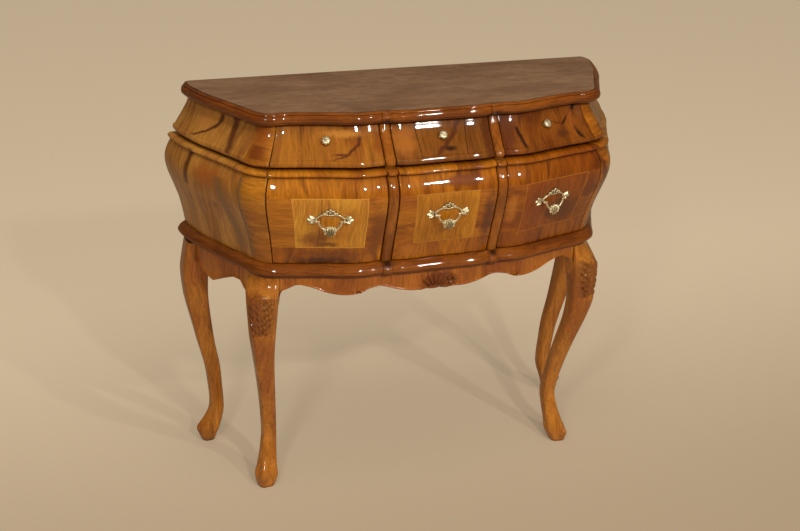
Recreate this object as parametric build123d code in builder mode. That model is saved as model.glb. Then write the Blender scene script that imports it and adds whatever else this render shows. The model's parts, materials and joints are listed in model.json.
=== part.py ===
"""Bombé chest of six drawers on cabriole legs.

The frame has +X to the right as seen from the front, -Y to the front and +Z up. The origin is on
the floor, under the middle of the overall box. The back is flat. Every curved piece of the case is
a run: a flat upright profile that is carried along the serpentine plan curve, from one station of
that curve to the next. Station 0 is the middle of the front, and the stations of the left half are
negative.
"""

import os
from math import atan2, cos, radians, sin

from build123d import *

os.makedirs("parts", exist_ok=True)

# Overall sizes in millimetres
height = 880
half_width = 482  # case at the back, on the waist line
case_depth = 334  # back plane to the front of the middle bay, on the waist line
bay_half = 120.5  # middle of the piece to the middle of a stile
post_half = 354  # middle of the piece to the outer end of the outer drawers

# Heights of the horizontal lines, from the top down
crown_drop = 28
mid_drop = 80
waist_drop = 213
frieze_drop = 33
crown_z = height - crown_drop  # underside of the top moulding
mid_z = crown_z - mid_drop  # gap between the upper and the lower drawers
waist_z = mid_z - waist_drop  # top of the waist moulding, foot of the lower drawers
frieze_z = waist_z - frieze_drop  # underside of the waist moulding, top of the aprons

# Gaps and fits
drawer_gap = 6
side_gap = 1.5
fit = 0.3
overrun = 2
# These are shares of the way from one row of the plan curve to the next
mitre_gap_share = 0.01
least_step_share = 0.3  # from a run's end to its next station
near_share = 0.3  # to either side of a fitting's place

# Plan curve of the waist line. The centre rows run from the middle to the stile, the bay rows from
# the stile to the post and the end rows from the post to the back. Each row gives how far along its
# stretch, the depth as a share of the case depth, and the direction that faces outwards, in degrees
# from the front.
centre_shares = [
    (0, 1.0, 0),
    (0.25, 1.002, 0),
    (0.5, 1.005, 0),
    (0.73, 1.003, 0),
    (0.87, 0.991, 0),
    (1.0, 0.979, 0),
]
bay_shares = [
    (0.066, 0.982, 0),
    (0.169, 0.988, 0),
    (0.285, 0.984, 0),
    (0.405, 0.964, 0),
    (0.533, 0.937, 0),
    (0.662, 0.912, 0),
    (0.79, 0.889, 3),
    (0.906, 0.868, 14),
    (1.0, 0.846, 34),
]
end_shares = [
    (0.113, 0.822, 46),
    (0.203, 0.789, 54),
    (0.273, 0.74, 60),
    (0.363, 0.656, 62.5),
    (0.484, 0.558, 64),
    (0.609, 0.458, 65),
    (0.734, 0.365, 66.5),
    (0.836, 0.269, 71),
    (0.922, 0.168, 78),
    (0.984, 0.072, 85),
    (1.0, 0, 90),
]
side_turn = 64  # direction at which the profile has become that of the ends

# The knee's place along the end stretch, and how far behind the waist line there, along the depth,
# pieces meet on the ends
knee_place_share = 0.17
mitre_setback = 4.9
post_setback = 21.3
knee_stop_setback = 46.3
knee_start_inset = 19.5  # from the outer end of the outer drawers
apron_overrun = 21.6  # behind the front of the back leg, where the side aprons are cut

# Profile of the lower case: height as a share of its face, then how far it stands out at the front
# and at the ends, in shares of the bulge
bulge = 41
lower_shares = [
    (0, 0.02, 0.02),
    (0.1, 0.15, 0.1),
    (0.2, 0.3, 0.2),
    (0.31, 0.46, 0.33),
    (0.41, 0.63, 0.5),
    (0.51, 0.77, 0.68),
    (0.61, 0.9, 0.86),
    (0.71, 1.0, 0.98),
    (0.79, 1.02, 1.0),
    (0.86, 0.96, 0.94),
    (0.94, 0.76, 0.78),
    (1, 0.55, 0.62),
]
# Profile of the upper case, in shares of how far it leans back at the crown
lean = 33
upper_shares = [
    (0, 0.24, 0.48),
    (0.13, 0.06, 0.33),
    (0.33, -0.24, 0.09),
    (0.49, -0.52, -0.09),
    (0.72, -0.82, -0.33),
    (1, -1.08, -0.5),
]
# Foot and nose of the roll, front and ends, in shares of the lean, and top of the bead in shares of
# the bulge
roll_shares = [(0.36, 0.52), (0.45, 0.64)]
bead_root_share = (0.5, 0.55)
bead_height = 11
bead_proud = 9
roll_height = 14
groove_depth = 8

# Carcase
wall = 20
frame_setback = 42.56  # waist line at the outer drawers' ends to the front edges of the inside boards
board = 12
back_thick = 10
partition_thick = 18
stile_width = 22
stile_proud = 8
post_inside = 25
panel_play = 2.5
back_post_size = 24
back_post_inset = 52

# Top
top_thick = 14
field_share = (-0.88, -0.18)  # edge of the top's field, front and ends, in shares of the lean
edge_width = 13
rebate = 16
cove_step = 3
field_lip = 1.5
field_play = 0.8
edge_shares = [(0.45, 0.16), (0.55, 0.2), (1.0, 0.5), (0.7, 0.8)]  # out and down along the edge
corner_ease = 8
ease_shares = {23: 0, 24: 0.12, 25: 1}

# Waist moulding and aprons
waist_inside = 28
waist_proud = 17
waist_shares = [(0.12, 0), (1, 0.48), (0.62, 0.73), (0.45, 0.75), (0.55, 0.86), (0.35, 0.97), (0.24, 1)]
apron_thick = 20
apron_out = 2
apron_drop = 36
front_drop_shares = [1.14, 1.16, 1.16, 1.01, 0.91, 0.8, 0.72, 0.82, 1.08, 1.12, 0.97, 0.64, 0.46, 0.8]
knee_drop_shares = [(13.1, 0.82), (14, 1.42), (15, 1.92), (16, 1.92), (17, 1.72), (17.9, 1.32)]
end_drop_shares = [(17.9, 1.32), (18.3, 0.88), (19, 0.91), (20, 1.36), (21, 1.82), (22, 1.52), (22.9, 1.17)]
rail_thick = 18
rail_drop = 40

# Front legs: height as a share of the frieze height, how far out along the leg's own direction, as a
# share of the sway, and the width as a share of the leg's width
leg_turn = 24
knee_stand = 6.5  # from the waist line out to the middle of the knee
sway = 71
leg_width = 64
front_leg_shares = [
    (1.0, -0.05, 1.0),
    (0.932, -0.04, 1.0),
    (0.857, -0.01, 0.94),
    (0.798, 0, 0.875),
    (0.73, 0, 0.8),
    (0.629, -0.17, 0.68),
    (0.5, -0.49, 0.59),
    (0.38, -0.76, 0.535),
    (0.28, -0.94, 0.51),
    (0.207, -1.0, 0.505),
    (0.141, -0.85, 0.56),
    (0.086, -0.66, 0.68),
    (0.049, -0.53, 0.77),
    (0.02, -0.46, 0.66),
    (0, -0.42, 0.5),
]
# Back legs sway sideways only, and stay flush with the back plane
back_knee_inset = 12
back_sway = 45
back_leg_shares = [
    (1.0, -0.24, 0.94),
    (0.932, -0.1, 0.95),
    (0.857, 0.03, 0.92),
    (0.76, 0, 0.84),
    (0.697, -0.09, 0.78),
    (0.599, -0.29, 0.68),
    (0.496, -0.51, 0.6),
    (0.38, -0.8, 0.54),
    (0.28, -0.93, 0.5),
    (0.19, -1.0, 0.5),
    (0.137, -0.9, 0.56),
    (0.076, -0.55, 0.7),
    (0.034, -0.5, 0.68),
    (0, -0.52, 0.46),
]
corner_share = 0.24  # rounding of a leg's arrises, as a share of its width
pommel = 48  # square block inside the knee
pommel_inset = 9
pommel_setback = 45.9
stump_front = 34  # square stump above it, which carries the bottom board
front_stump_inset = 16
front_stump_setback = 58.1
stump_back = 44
back_stump_inset = 63

# Drawer boxes
drawer_side = 10
drawer_bottom = 6
bottom_rise = 6
box_back = 16  # back plane to the back of a closed drawer
box_play = 2  # between a drawer's side and the partition or guide beside it
box_inset = 30  # outer end of an outer drawer's front to the outer side of its box
lower_head_play = 14.2
upper_head_play = 8.2
# Waist line at the outer end of a drawer's front to the front's flat back
front_thicks = {"upper_middle": 49.1, "upper_outer": 38.87, "lower_middle": 20.1, "lower_outer": 20.87}
guide_width = 12
guide_height = 14
guide_end_play = 26
glue_block = 26
glue_block_spots = (-300, -100, 100, 300)

# Fittings
knob_head_play = 31  # underside of the top moulding to the middle of a knob
knob_shift = 7.75  # middle of the outer bays to their knobs
knob_radius = 9
knob_stand = 12
rosette_share = 0.72
neck_share = 0.3  # heights of the neck and the rim, in shares of the knob's stand
rim_share = 0.6
neck_radius = 3.5
shank_radius = 2
shank_length = 18
pull_rise = 113  # foot of the lower drawers to the pulls
pull_shift = 11.75  # middle of the outer bays to their pulls
pull_half = 29
plate_thick = 2
plate_stand = 2.2
plate_band = 5
crest_height = 20
leaf_length = 15
leaf_height = 12
leaf_tilt = 20
pivot_stand = 9
post_ball = 3.5
post_radius = 2.2
bolt_length = 20
pin_radius = 1.3
bail_radius = 2
bail_drop = 24
bail_shares = (0.4, 0.8, 0.35)  # corner, depth and rounding, in shares of its shoulder and drop
shell_width = 30
shell_height = 18
shell_rise = 2
shell_thick = 6


def curve(rows, s):
    """The smooth curve through the rows, read at s, which counts rows."""
    i = min(int(s), len(rows) - 2)
    first = [-rows[1][0], rows[1][1], -rows[1][2]]
    near = [rows[i - 1] if i else first, rows[i], rows[i + 1], rows[min(i + 2, len(rows) - 1)]]
    f = s - i
    return [
        (2 * b + (c - a) * f + (2 * a - 5 * b + 4 * c - d) * f**2 + (3 * b - a - 3 * c + d) * f**3) / 2
        for a, b, c, d in zip(*near)
    ]


stretches = [
    (0, bay_half, centre_shares),
    (bay_half, post_half, bay_shares),
    (post_half, half_width, end_shares),
]
plan_rows = [
    (start + along * (stop - start), deep * case_depth, turn)
    for start, stop, shares in stretches
    for along, deep, turn in shares
]
back_stop = len(plan_rows) - 1


def plan(s):
    """The point of the waist line at station s, from the back plane, and the direction that faces out."""
    x, deep, turn = curve(plan_rows, abs(s))
    side = -1 if s < 0 else 1
    return side * x, deep, side * turn


def station(x):
    """The station of the front half at which the waist line is at x."""
    low, high = 0, back_stop
    for _ in range(40):
        middle = (low + high) / 2
        if plan(middle)[0] < abs(x):
            low = middle
        else:
            high = middle
    return low if x >= 0 else -low


def station_of_depth(depth):
    """The station of the right end at which the waist line is this far in front of the back plane."""
    low, high = station(post_half), back_stop
    for _ in range(40):
        middle = (low + high) / 2
        if plan(middle)[1] > depth:
            low = middle
        else:
            high = middle
    return low


def stops(start, stop):
    """Stations from start to stop: both ends, and the whole ones between that aren't close to an end."""
    play = least_step_share
    inner = [s for s in range(-back_stop, back_stop + 1) if start + play < s < stop - play]
    return [start, *inner, stop]


def mix(s, pair):
    """A front value and an end value, mixed by how far station s has turned to the side."""
    share = min(abs(plan(s)[2]) / side_turn, 1)
    return pair[0] * (1 - share) + pair[1] * share


def waist_depth(x):
    """How far in front of the back plane the waist line is at x."""
    return plan(station(x))[1]


knee_x = post_half + knee_place_share * (half_width - post_half)
corner_depth = waist_depth(knee_x)
back_leg_front = leg_width * max(wide for up, out, wide in back_leg_shares[:3]) + fit
stile_stop = station(bay_half)
knee_start = station(post_half - knee_start_inset)
mitre_stop = station_of_depth(corner_depth - mitre_setback)
post_stop = station_of_depth(corner_depth - post_setback)
knee_stop = station_of_depth(corner_depth - knee_stop_setback)
apron_stop = station_of_depth(back_leg_front - apron_overrun)
frame_depth = waist_depth(post_half) - frame_setback
bay_middle = (bay_half + post_half) / 2
bead_foot_z = mid_z - drawer_gap / 2 - bead_height
roll_top_z = mid_z + drawer_gap / 2 + roll_height
bottom_board_z = waist_z - board
dust_z = mid_z - board / 2
dust_top_z = dust_z + board
knob_z = crown_z - knob_head_play
pull_z = waist_z + pull_rise
lower_foot = (waist_z, bead_foot_z)
upper_foot = (roll_top_z, crown_z)


def face_points(s, shares, size, span):
    """Points of a face profile at station s: how far out, and at what height."""
    low, high = span
    return [(size * mix(s, row[1:]), low + row[0] * (high - low)) for row in shares]


def face_out(s, z):
    """How far the case stands out at station s and height z."""
    points = face_points(s, lower_shares, bulge, lower_foot)
    points += face_points(s, upper_shares, lean, upper_foot)
    for (out_a, z_a), (out_b, z_b) in zip(points, points[1:]):
        if z <= z_b:
            return out_a + (out_b - out_a) * max(z - z_a, 0) / (z_b - z_a)
    return points[-1][0]


def face_rise(s, z):
    """How much further out the case stands half a bead above height z than half a bead below it."""
    return face_out(s, z + bead_height / 2) - face_out(s, z - bead_height / 2)


def pull_reach():
    """How far in front of the back plane the post balls of the middle pull stand."""
    tilt = atan2(face_rise(0, pull_z), bead_height)
    return plan(0)[1] + face_out(0, pull_z) + pivot_stand * cos(tilt) + post_ball


back_y = pull_reach() / 2


def case_point(s, out, z):
    """The point at station s that stands this far outside the waist line."""
    x, deep, turn = plan(s)
    return x + out * sin(radians(turn)), back_y - deep - out * cos(radians(turn)), z


def station_plane(s):
    """The upright plane of station s: its x runs outwards and its y upwards."""
    turn = radians(plan(s)[2])
    return Plane(case_point(s, 0, 0), x_dir=(sin(turn), -cos(turn), 0), z_dir=(-cos(turn), -sin(turn), 0))


def face_plane(s, z):
    """The plane that touches the case at station s and height z, with its normal outwards and its y up."""
    here = Vector(*case_point(s, face_out(s, z), z))
    across = Vector(*case_point(s + near_share, face_out(s + near_share, z), z))
    across -= Vector(*case_point(s - near_share, face_out(s - near_share, z), z))
    turn = radians(plan(s)[2])
    rise = face_rise(s, z)
    up = Vector(rise * sin(turn), -rise * cos(turn), bead_height)
    return Plane(here, x_dir=across, z_dir=across.cross(up))


def run(outline, where):
    """Carries a closed outline along the plan curve. outline(s) draws it at station s."""
    with BuildPart() as piece:
        for s in where:
            with BuildSketch(station_plane(s)):
                with BuildLine():
                    outline(s)
                make_face()
        loft()
    return piece.part


def depth_out(s, depth):
    """How far out, at station s, the plane at this depth from the back is."""
    deep, turn = plan(s)[1:]
    return (depth - deep) / cos(radians(turn))


def roll_arc(s, z):
    """The roll under the upper case. Returns its upper end."""
    foot = lean * mix(s, roll_shares[0])
    nose = lean * mix(s, roll_shares[1])
    top = face_points(s, upper_shares, lean, upper_foot)[0]
    ThreePointArc((foot, z), (nose, z + roll_height / 2), top)
    return top


def bead_arc(s, foot):
    """The bead on top of the lower case. Returns its upper end."""
    root = bulge * mix(s, bead_root_share)
    nose = (foot[0] + root) / 2 + bead_proud
    top = (root, foot[1] + bead_height)
    ThreePointArc(foot, (nose, foot[1] + bead_height / 2), top)
    return top


def upper_front(depth):
    """The outline of an upper drawer front whose flat back lies at this depth."""

    def outline(s):
        low = mid_z + drawer_gap / 2
        back = depth_out(s, depth)
        foot = (lean * mix(s, roll_shares[0]), low)
        Line((back, low), foot)
        roll_arc(s, low)
        face = face_points(s, upper_shares, lean, (upper_foot[0], upper_foot[1] - side_gap))
        Spline(*face)
        Polyline(face[-1], (back, face[-1][1]), (back, low))

    return outline


def lower_front(depth):
    """The outline of a lower drawer front whose flat back lies at this depth."""

    def outline(s):
        back = depth_out(s, depth)
        face = face_points(s, lower_shares, bulge, lower_foot)
        face[0] = (face[0][0], waist_z + side_gap)
        Line((back, face[0][1]), face[0])
        Spline(*face)
        top = bead_arc(s, face[-1])
        Polyline(top, (back, top[1]), (back, face[0][1]))

    return outline


def case_outline(s):
    """The full outline of the posts and the ends: lower face, bead, groove, roll, upper face and inside."""
    face = face_points(s, lower_shares, bulge, lower_foot)
    Line((-post_inside, waist_z), face[0])
    Spline(*face)
    bead = bead_arc(s, face[-1])
    low = mid_z + drawer_gap / 2
    foot = (lean * mix(s, roll_shares[0]), low)
    deep = foot[0] - groove_depth
    Polyline(bead, (deep, bead[1]), (deep, low), foot)
    roll_arc(s, low)
    crown = face_points(s, upper_shares, lean, upper_foot)
    Spline(*crown)
    inside = crown[-1][0] - wall
    Polyline(crown[-1], (inside, crown_z), (-post_inside, mid_z), (-post_inside, waist_z))


def export(builder, name):
    """Labels a finished piece and writes it."""
    builder.part.label = name
    export_step(builder.part, f"parts/{name}.step")


sides = {"left": -1, "right": 1}


def between(side, start, stop):
    """Stations from start to stop on the right, or the same ones mirrored on the left."""
    return stops(start, stop) if side > 0 else stops(-stop, -start)


# The mouldings are five lengths, which meet at the corners and behind the stiles
joints_at = [-back_stop, -mitre_stop, -stile_stop, stile_stop, mitre_stop, back_stop]
lengths = [(start + mitre_gap_share, stop) for start, stop in zip(joints_at, joints_at[1:])]
lengths[0] = (-back_stop, -mitre_stop)

# Front posts and bombé ends
post_start = station(post_half + side_gap / 2)
for hand, side in sides.items():
    with BuildPart() as front_post:
        add(run(case_outline, between(side, post_start, post_stop)))
    export(front_post, f"{hand}_front_post")

    with BuildPart() as side_panel:
        add(run(case_outline, between(side, post_stop, back_stop)))
    export(side_panel, f"{hand}_side_panel")


# Top: a flat field in a moulded edge
def eased(s):
    """How far the top is drawn in towards the back corners."""
    low = int(abs(s))
    if low < min(ease_shares):
        return 0
    high = min(low + 1, back_stop)
    share = ease_shares[low] + (ease_shares[high] - ease_shares[low]) * (abs(s) - low)
    return corner_ease * share


def field_edge(s):
    """How far out the edge of the top's field lies at station s."""
    return lean * mix(s, field_share) - eased(s)


def top_outline(s):
    """The moulded edge: ovolo, quirk, torus and cove, with a rebate for the field."""
    edge = field_edge(s)
    drop = height - crown_z
    points = [(edge + edge_width * out, height - drop * down) for out, down in edge_shares]
    quirk, nose_top, nose, nose_foot = points
    cove_out = lean * mix(s, upper_shares[-1][1:]) - eased(s) + cove_step
    seat = height - top_thick - fit
    Polyline(
        (edge, height - field_lip),
        (edge, seat),
        (edge - rebate, seat),
        (edge - rebate, crown_z),
        (cove_out, crown_z),
        (cove_out, crown_z + cove_step),
        nose_foot,
    )
    ThreePointArc(nose_foot, nose, nose_top)
    Polyline(nose_top, quirk, (edge, height - field_lip))


with BuildPart() as top_moulding:
    for start, stop in lengths:
        add(run(top_outline, stops(start, stop)))
export(top_moulding, "top_moulding")

with BuildPart() as top_board:
    with BuildSketch(Plane.XY.offset(height - top_thick)):
        with BuildLine():
            rim = [case_point(s, field_edge(s) - field_play, 0)[:2] for s in stops(-back_stop, back_stop)]
            Spline(*rim)
            Line(rim[-1], rim[0])
        make_face()
    extrude(amount=top_thick)
export(top_board, "top_board")


# Waist moulding: roll, quirk and small bead
def waist_outline(s):
    """The section of the waist moulding."""
    drop = waist_z - frieze_z
    points = [(waist_proud * out, waist_z - drop * down) for out, down in waist_shares]
    top, nose, foot, quirk, bead, bead_foot, low = points
    ThreePointArc(top, nose, foot)
    Line(foot, quirk)
    ThreePointArc(quirk, bead, bead_foot)
    Polyline(bead_foot, low, (-waist_inside, frieze_z), (-waist_inside, waist_z), top)


with BuildPart() as waist_moulding:
    for start, stop in lengths:
        add(run(waist_outline, stops(start, stop)))
export(waist_moulding, "waist_moulding")


# Aprons, with a scalloped lower edge
def drop_at(s):
    """How far the scalloped edge hangs below the frieze line at station s."""
    s = abs(s)
    if s <= knee_start:
        low = int(s)
        here, there = [front_drop_shares[min(i, len(front_drop_shares) - 1)] for i in (low, low + 1)]
        return apron_drop * (here + (there - here) * (s - low))
    rows = knee_drop_shares if s < knee_stop else end_drop_shares
    for (s_a, share_a), (s_b, share_b) in zip(rows, rows[1:]):
        if s <= s_b:
            return apron_drop * (share_a + (share_b - share_a) * (s - s_a) / (s_b - s_a))
    return apron_drop * rows[-1][1]


def apron_outline(s):
    """The section of an apron."""
    low = frieze_z - drop_at(s)
    corners = [(apron_out, frieze_z), (apron_out, low), (-apron_thick, low), (-apron_thick, frieze_z)]
    Polyline(*corners, close=True)


with BuildPart() as front_apron:
    add(run(apron_outline, stops(-knee_start, knee_start)))
export(front_apron, "front_apron")

back_knee_x = half_width - back_knee_inset
for hand, side in sides.items():
    with BuildPart() as end_apron:
        add(run(apron_outline, between(side, knee_stop, apron_stop)))
        with Locations((side * back_knee_x, back_y - back_leg_front, frieze_z)):
            room = (leg_width, case_depth, height)
            Box(*room, align=(Align.CENTER, Align.MIN, Align.CENTER), mode=Mode.SUBTRACT)
    export(end_apron, f"{hand}_apron")


# Legs
def leg_path(side, shares, start, turn, sway_size, flush):
    """Lofts a cabriole leg. A flush leg keeps its back on the back plane."""
    with BuildPart() as leg:
        for up, out, wide in shares:
            width = leg_width * wide
            x = start[0] + sway_size * out * sin(radians(turn))
            deep = width / 2 if flush else start[1] + sway_size * out * cos(radians(turn))
            with BuildSketch(Plane((side * x, back_y - deep, frieze_z * up))):
                RectangleRounded(width, width, width * corner_share)
        loft()
    return leg.part


def stump(x, depth, size, top):
    """A square block behind the aprons, from the foot of the back rail up to this height."""
    with Locations((x, back_y - depth, frieze_z - rail_drop)):
        Box(size, size, top - frieze_z + rail_drop, align=(Align.CENTER, Align.CENTER, Align.MIN))


knee_depth = corner_depth + knee_stand
pommel_x = post_half - pommel_inset
pommel_depth = waist_depth(pommel_x) - pommel_setback
front_stump_x = post_half - front_stump_inset
front_stump_depth = waist_depth(front_stump_x) - front_stump_setback
back_stump_x = half_width - back_stump_inset
for hand, side in sides.items():
    with BuildPart() as front_leg:
        add(leg_path(side, front_leg_shares, (knee_x, knee_depth), leg_turn, sway, False))
        add(run(apron_outline, between(side, knee_start, knee_stop)))
        stump(side * pommel_x, pommel_depth, pommel, frieze_z)
        stump(side * front_stump_x, front_stump_depth, stump_front, bottom_board_z)
    export(front_leg, f"front_{hand}_leg")

    with BuildPart() as back_leg:
        add(leg_path(side, back_leg_shares, (back_knee_x, 0), 90, back_sway, True))
        stump(side * back_stump_x, stump_back / 2 + back_thick, stump_back, bottom_board_z)
    export(back_leg, f"back_{hand}_leg")


# Inside boards
with BuildPart() as back_rail:
    with Locations((0, back_y, frieze_z)):
        rail_half = back_stump_x - stump_back / 2
        Box(2 * rail_half, rail_thick, rail_drop, align=(Align.CENTER, Align.MAX, Align.MAX))
export(back_rail, "back_rail")

with BuildPart() as back_panel:
    rise_halves = [
        (frieze_z, -waist_inside),
        (waist_z, -waist_inside),
        (waist_z, -post_inside),
        (mid_z, -post_inside),
        (crown_z, lean * upper_shares[-1][2] - wall),
        (crown_z, field_edge(back_stop) - rebate),
        (height - top_thick - fit, field_edge(back_stop) - rebate),
    ]
    right_edge = [(half_width + out - panel_play, z) for z, out in rise_halves]
    left_edge = [(-x, z) for x, z in reversed(right_edge)]
    with BuildSketch(Plane.XZ.offset(-back_y)):
        with BuildLine():
            Polyline(*right_edge, *left_edge, close=True)
        make_face()
    extrude(amount=back_thick)
export(back_panel, "back_panel")

back_post_x = half_width - back_post_inset
slot_depth = (frame_depth + back_thick) / 2
board_stop = height - top_thick - fit


def board_plan(inside):
    """The plan of a board that fills the case up to this far inside the waist line, less the back panel."""
    rim = [case_point(s, -inside, 0)[:2] for s in stops(-back_stop, back_stop)]
    with BuildSketch() as plan_sketch:
        with BuildLine():
            Spline(*rim)
            Line(rim[-1], rim[0])
        make_face()
        with Locations((0, back_y)):
            Rectangle(2 * half_width, back_thick, align=(Align.CENTER, Align.MAX), mode=Mode.SUBTRACT)
    return plan_sketch.sketch_local


with BuildPart() as bottom_board:
    with BuildSketch(Plane.XY.offset(bottom_board_z)):
        add(board_plan(waist_inside + fit))
    extrude(amount=board)
export(bottom_board, "bottom_board")

with BuildPart() as dust_board:
    with BuildSketch(Plane.XY.offset(dust_z)):
        add(board_plan(post_inside + panel_play))
        with Locations((0, back_y - frame_depth)):
            Rectangle(2 * half_width, case_depth, align=(Align.CENTER, Align.MAX), mode=Mode.SUBTRACT)
        for side in sides.values():
            with Locations((side * bay_half, back_y - slot_depth)):
                Rectangle(partition_thick, frame_depth, align=(Align.CENTER, Align.MAX), mode=Mode.SUBTRACT)
            with Locations((side * back_post_x, back_y)):
                notch_length = 2 * (back_thick + back_post_size)
                Rectangle(back_post_size, notch_length, align=Align.CENTER, mode=Mode.SUBTRACT)
    extrude(amount=board)
export(dust_board, "dust_board")

with BuildPart() as partitions:
    for side in sides.values():
        with BuildSketch(Plane.YZ.offset(side * bay_half - partition_thick / 2)):
            with Locations((back_y - frame_depth, waist_z)):
                Rectangle(frame_depth - back_thick, board_stop - waist_z, align=Align.MIN)
            with Locations((back_y - slot_depth, dust_z)):
                Rectangle(frame_depth, board, align=Align.MIN, mode=Mode.SUBTRACT)
        extrude(amount=partition_thick)
export(partitions, "partitions")

with BuildPart() as back_posts:
    for side in sides.values():
        with Locations((side * back_post_x, back_y - back_thick, waist_z)):
            post_align = (Align.CENTER, Align.MAX, Align.MIN)
            Box(back_post_size, back_post_size, board_stop - waist_z, align=post_align)
export(back_posts, "back_posts")

stile_levels = [lower_foot[0] + row[0] * (lower_foot[1] - lower_foot[0]) for row in lower_shares]
stile_levels += [roll_top_z + row[0] * (crown_z - roll_top_z) for row in upper_shares]
for hand, side in sides.items():
    with BuildPart() as stile:
        for z in stile_levels:
            front = case_point(stile_stop, face_out(stile_stop, z), z)[1]
            left = side * bay_half - stile_width / 2
            right = left + stile_width
            back = back_y - frame_depth
            with BuildSketch(Plane.XY.offset(z)):
                with BuildLine():
                    Polyline((left, front), (left, back), (right, back), (right, front))
                    ThreePointArc((right, front), (side * bay_half, front - stile_proud), (left, front))
                make_face()
        loft()
    export(stile, f"{hand}_stile")

with BuildPart() as corner_blocks:
    for x in glue_block_spots:
        with Locations((x, back_y - back_thick, bottom_board_z)):
            block_align = (Align.CENTER, Align.MAX, Align.MAX)
            Box(glue_block, glue_block, bottom_board_z - frieze_z, align=block_align)
export(corner_blocks, "corner_blocks")

box_end = post_half - box_inset
guide_length = frame_depth - box_back - guide_end_play
with BuildPart() as drawer_guides:
    for z in (waist_z, dust_top_z):
        for side in sides.values():
            guide_x = side * (box_end + box_play + guide_width / 2)
            with Locations((guide_x, back_y - box_back, z)):
                Box(guide_width, guide_length, guide_height, align=(Align.CENTER, Align.MAX, Align.MIN))
export(drawer_guides, "drawer_guides")


# Drawers
def bay_ends(side):
    """The lowest and highest x of a bay's drawer front, on the waist line."""
    inner = bay_half - stile_width / 2 - side_gap
    if side == 0:
        return -inner, inner
    outer = bay_half + stile_width / 2 + side_gap
    end = post_half - side_gap / 2
    return (outer, end) if side > 0 else (-end, -outer)


def box_ends(side):
    """The lowest and highest x of a bay's drawer box."""
    low, high = bay_ends(side)
    return max(low, -box_end), min(high, box_end)


def bore(plane, radius, length):
    """A hole from the plane inwards."""
    up = (Align.CENTER, Align.CENTER, Align.MIN)
    with Locations(Location(plane.offset(-length))):
        Cylinder(radius, length + overrun, align=up, mode=Mode.SUBTRACT)


def knob_plane(side):
    return face_plane(station(side * (bay_middle + knob_shift)), knob_z)


def pull_plane(side):
    return face_plane(station(side * (bay_middle + pull_shift)), pull_z)


def bolt_planes(plane):
    """The planes of the two post bolts of a pull."""
    spots = [plane.from_local_coords((x, 0, 0)) for x in (-pull_half, pull_half)]
    return [Plane(spot, x_dir=plane.x_dir, z_dir=plane.z_dir) for spot in spots]


bays = {"left": -1, "middle": 0, "right": 1}
levels = {
    "upper": (upper_front, dust_top_z + fit, crown_z - upper_head_play),
    "lower": (lower_front, waist_z + fit, dust_z - lower_head_play),
}
for level, (front_outline, box_z, box_stop) in levels.items():
    box_height = box_stop - box_z
    for bay, side in bays.items():
        name = f"{level}_{bay}"
        low_x, high_x = bay_ends(side)
        depth = waist_depth(high_x if side >= 0 else low_x)
        depth -= front_thicks[f"{level}_{'outer' if side else 'middle'}"]
        with BuildPart() as drawer_front:
            add(run(front_outline(depth), stops(station(low_x), station(high_x))))
            if level == "upper":
                bore(knob_plane(side), shank_radius, shank_length)
            else:
                for plane in bolt_planes(pull_plane(side)):
                    bore(plane, post_radius, bolt_length)
        export(drawer_front, f"{name}_front")

        low_x, high_x = box_ends(side)
        box_length = depth - box_back
        with BuildPart() as drawer_sides:
            for x, align_x in ((low_x, Align.MIN), (high_x, Align.MAX)):
                with Locations((x, back_y - box_back, box_z)):
                    Box(drawer_side, box_length, box_height, align=(align_x, Align.MAX, Align.MIN))
        export(drawer_sides, f"{name}_sides")

        middle_x = (low_x + high_x) / 2
        inner_width = high_x - low_x - 2 * drawer_side
        with BuildPart() as drawer_bottom_panel:
            with Locations((middle_x, back_y - box_back, box_z + bottom_rise)):
                Box(inner_width, box_length, drawer_bottom, align=(Align.CENTER, Align.MAX, Align.MIN))
        export(drawer_bottom_panel, f"{name}_bottom")

        with BuildPart() as drawer_back:
            back_z = bottom_rise + drawer_bottom
            back_size = (inner_width, drawer_side, box_height - back_z)
            with Locations((middle_x, back_y - box_back, box_z + back_z)):
                Box(*back_size, align=(Align.CENTER, Align.MAX, Align.MIN))
        export(drawer_back, f"{name}_back")


# Knobs and pulls
def turned(plane, outline):
    """Turns an outline of radius and height about the plane's normal."""
    with BuildPart() as piece:
        with BuildSketch(Plane(plane.origin, x_dir=plane.x_dir, z_dir=-plane.y_dir)):
            with BuildLine():
                outline()
            make_face()
        revolve(axis=Axis(plane.origin, plane.z_dir))
    return piece.part


def knob_outline():
    """Threaded shank, rosette, neck and domed cap."""
    rim = (knob_radius, knob_stand * rim_share)
    Polyline((0, -shank_length), (shank_radius, -shank_length), (shank_radius, fit))
    neck = (neck_radius, knob_stand * neck_share)
    Polyline((shank_radius, fit), (knob_radius * rosette_share, fit), neck, rim)
    rise = knob_stand - rim[1]
    ball = (knob_radius**2 + rise**2) / (2 * rise)
    half_way = (knob_radius / 2, knob_stand - ball + (ball**2 - knob_radius**2 / 4) ** 0.5)
    ThreePointArc(rim, half_way, (0, knob_stand))
    Line((0, knob_stand), (0, -shank_length))


def bolt_outline():
    """Threaded bolt, post and ball."""
    neck_z = pivot_stand - (post_ball**2 - post_radius**2) ** 0.5
    Polyline((0, -bolt_length), (post_radius, -bolt_length), (post_radius, neck_z))
    ThreePointArc((post_radius, neck_z), (post_ball, pivot_stand), (0, pivot_stand + post_ball))
    Line((0, pivot_stand + post_ball), (0, -bolt_length))


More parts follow.
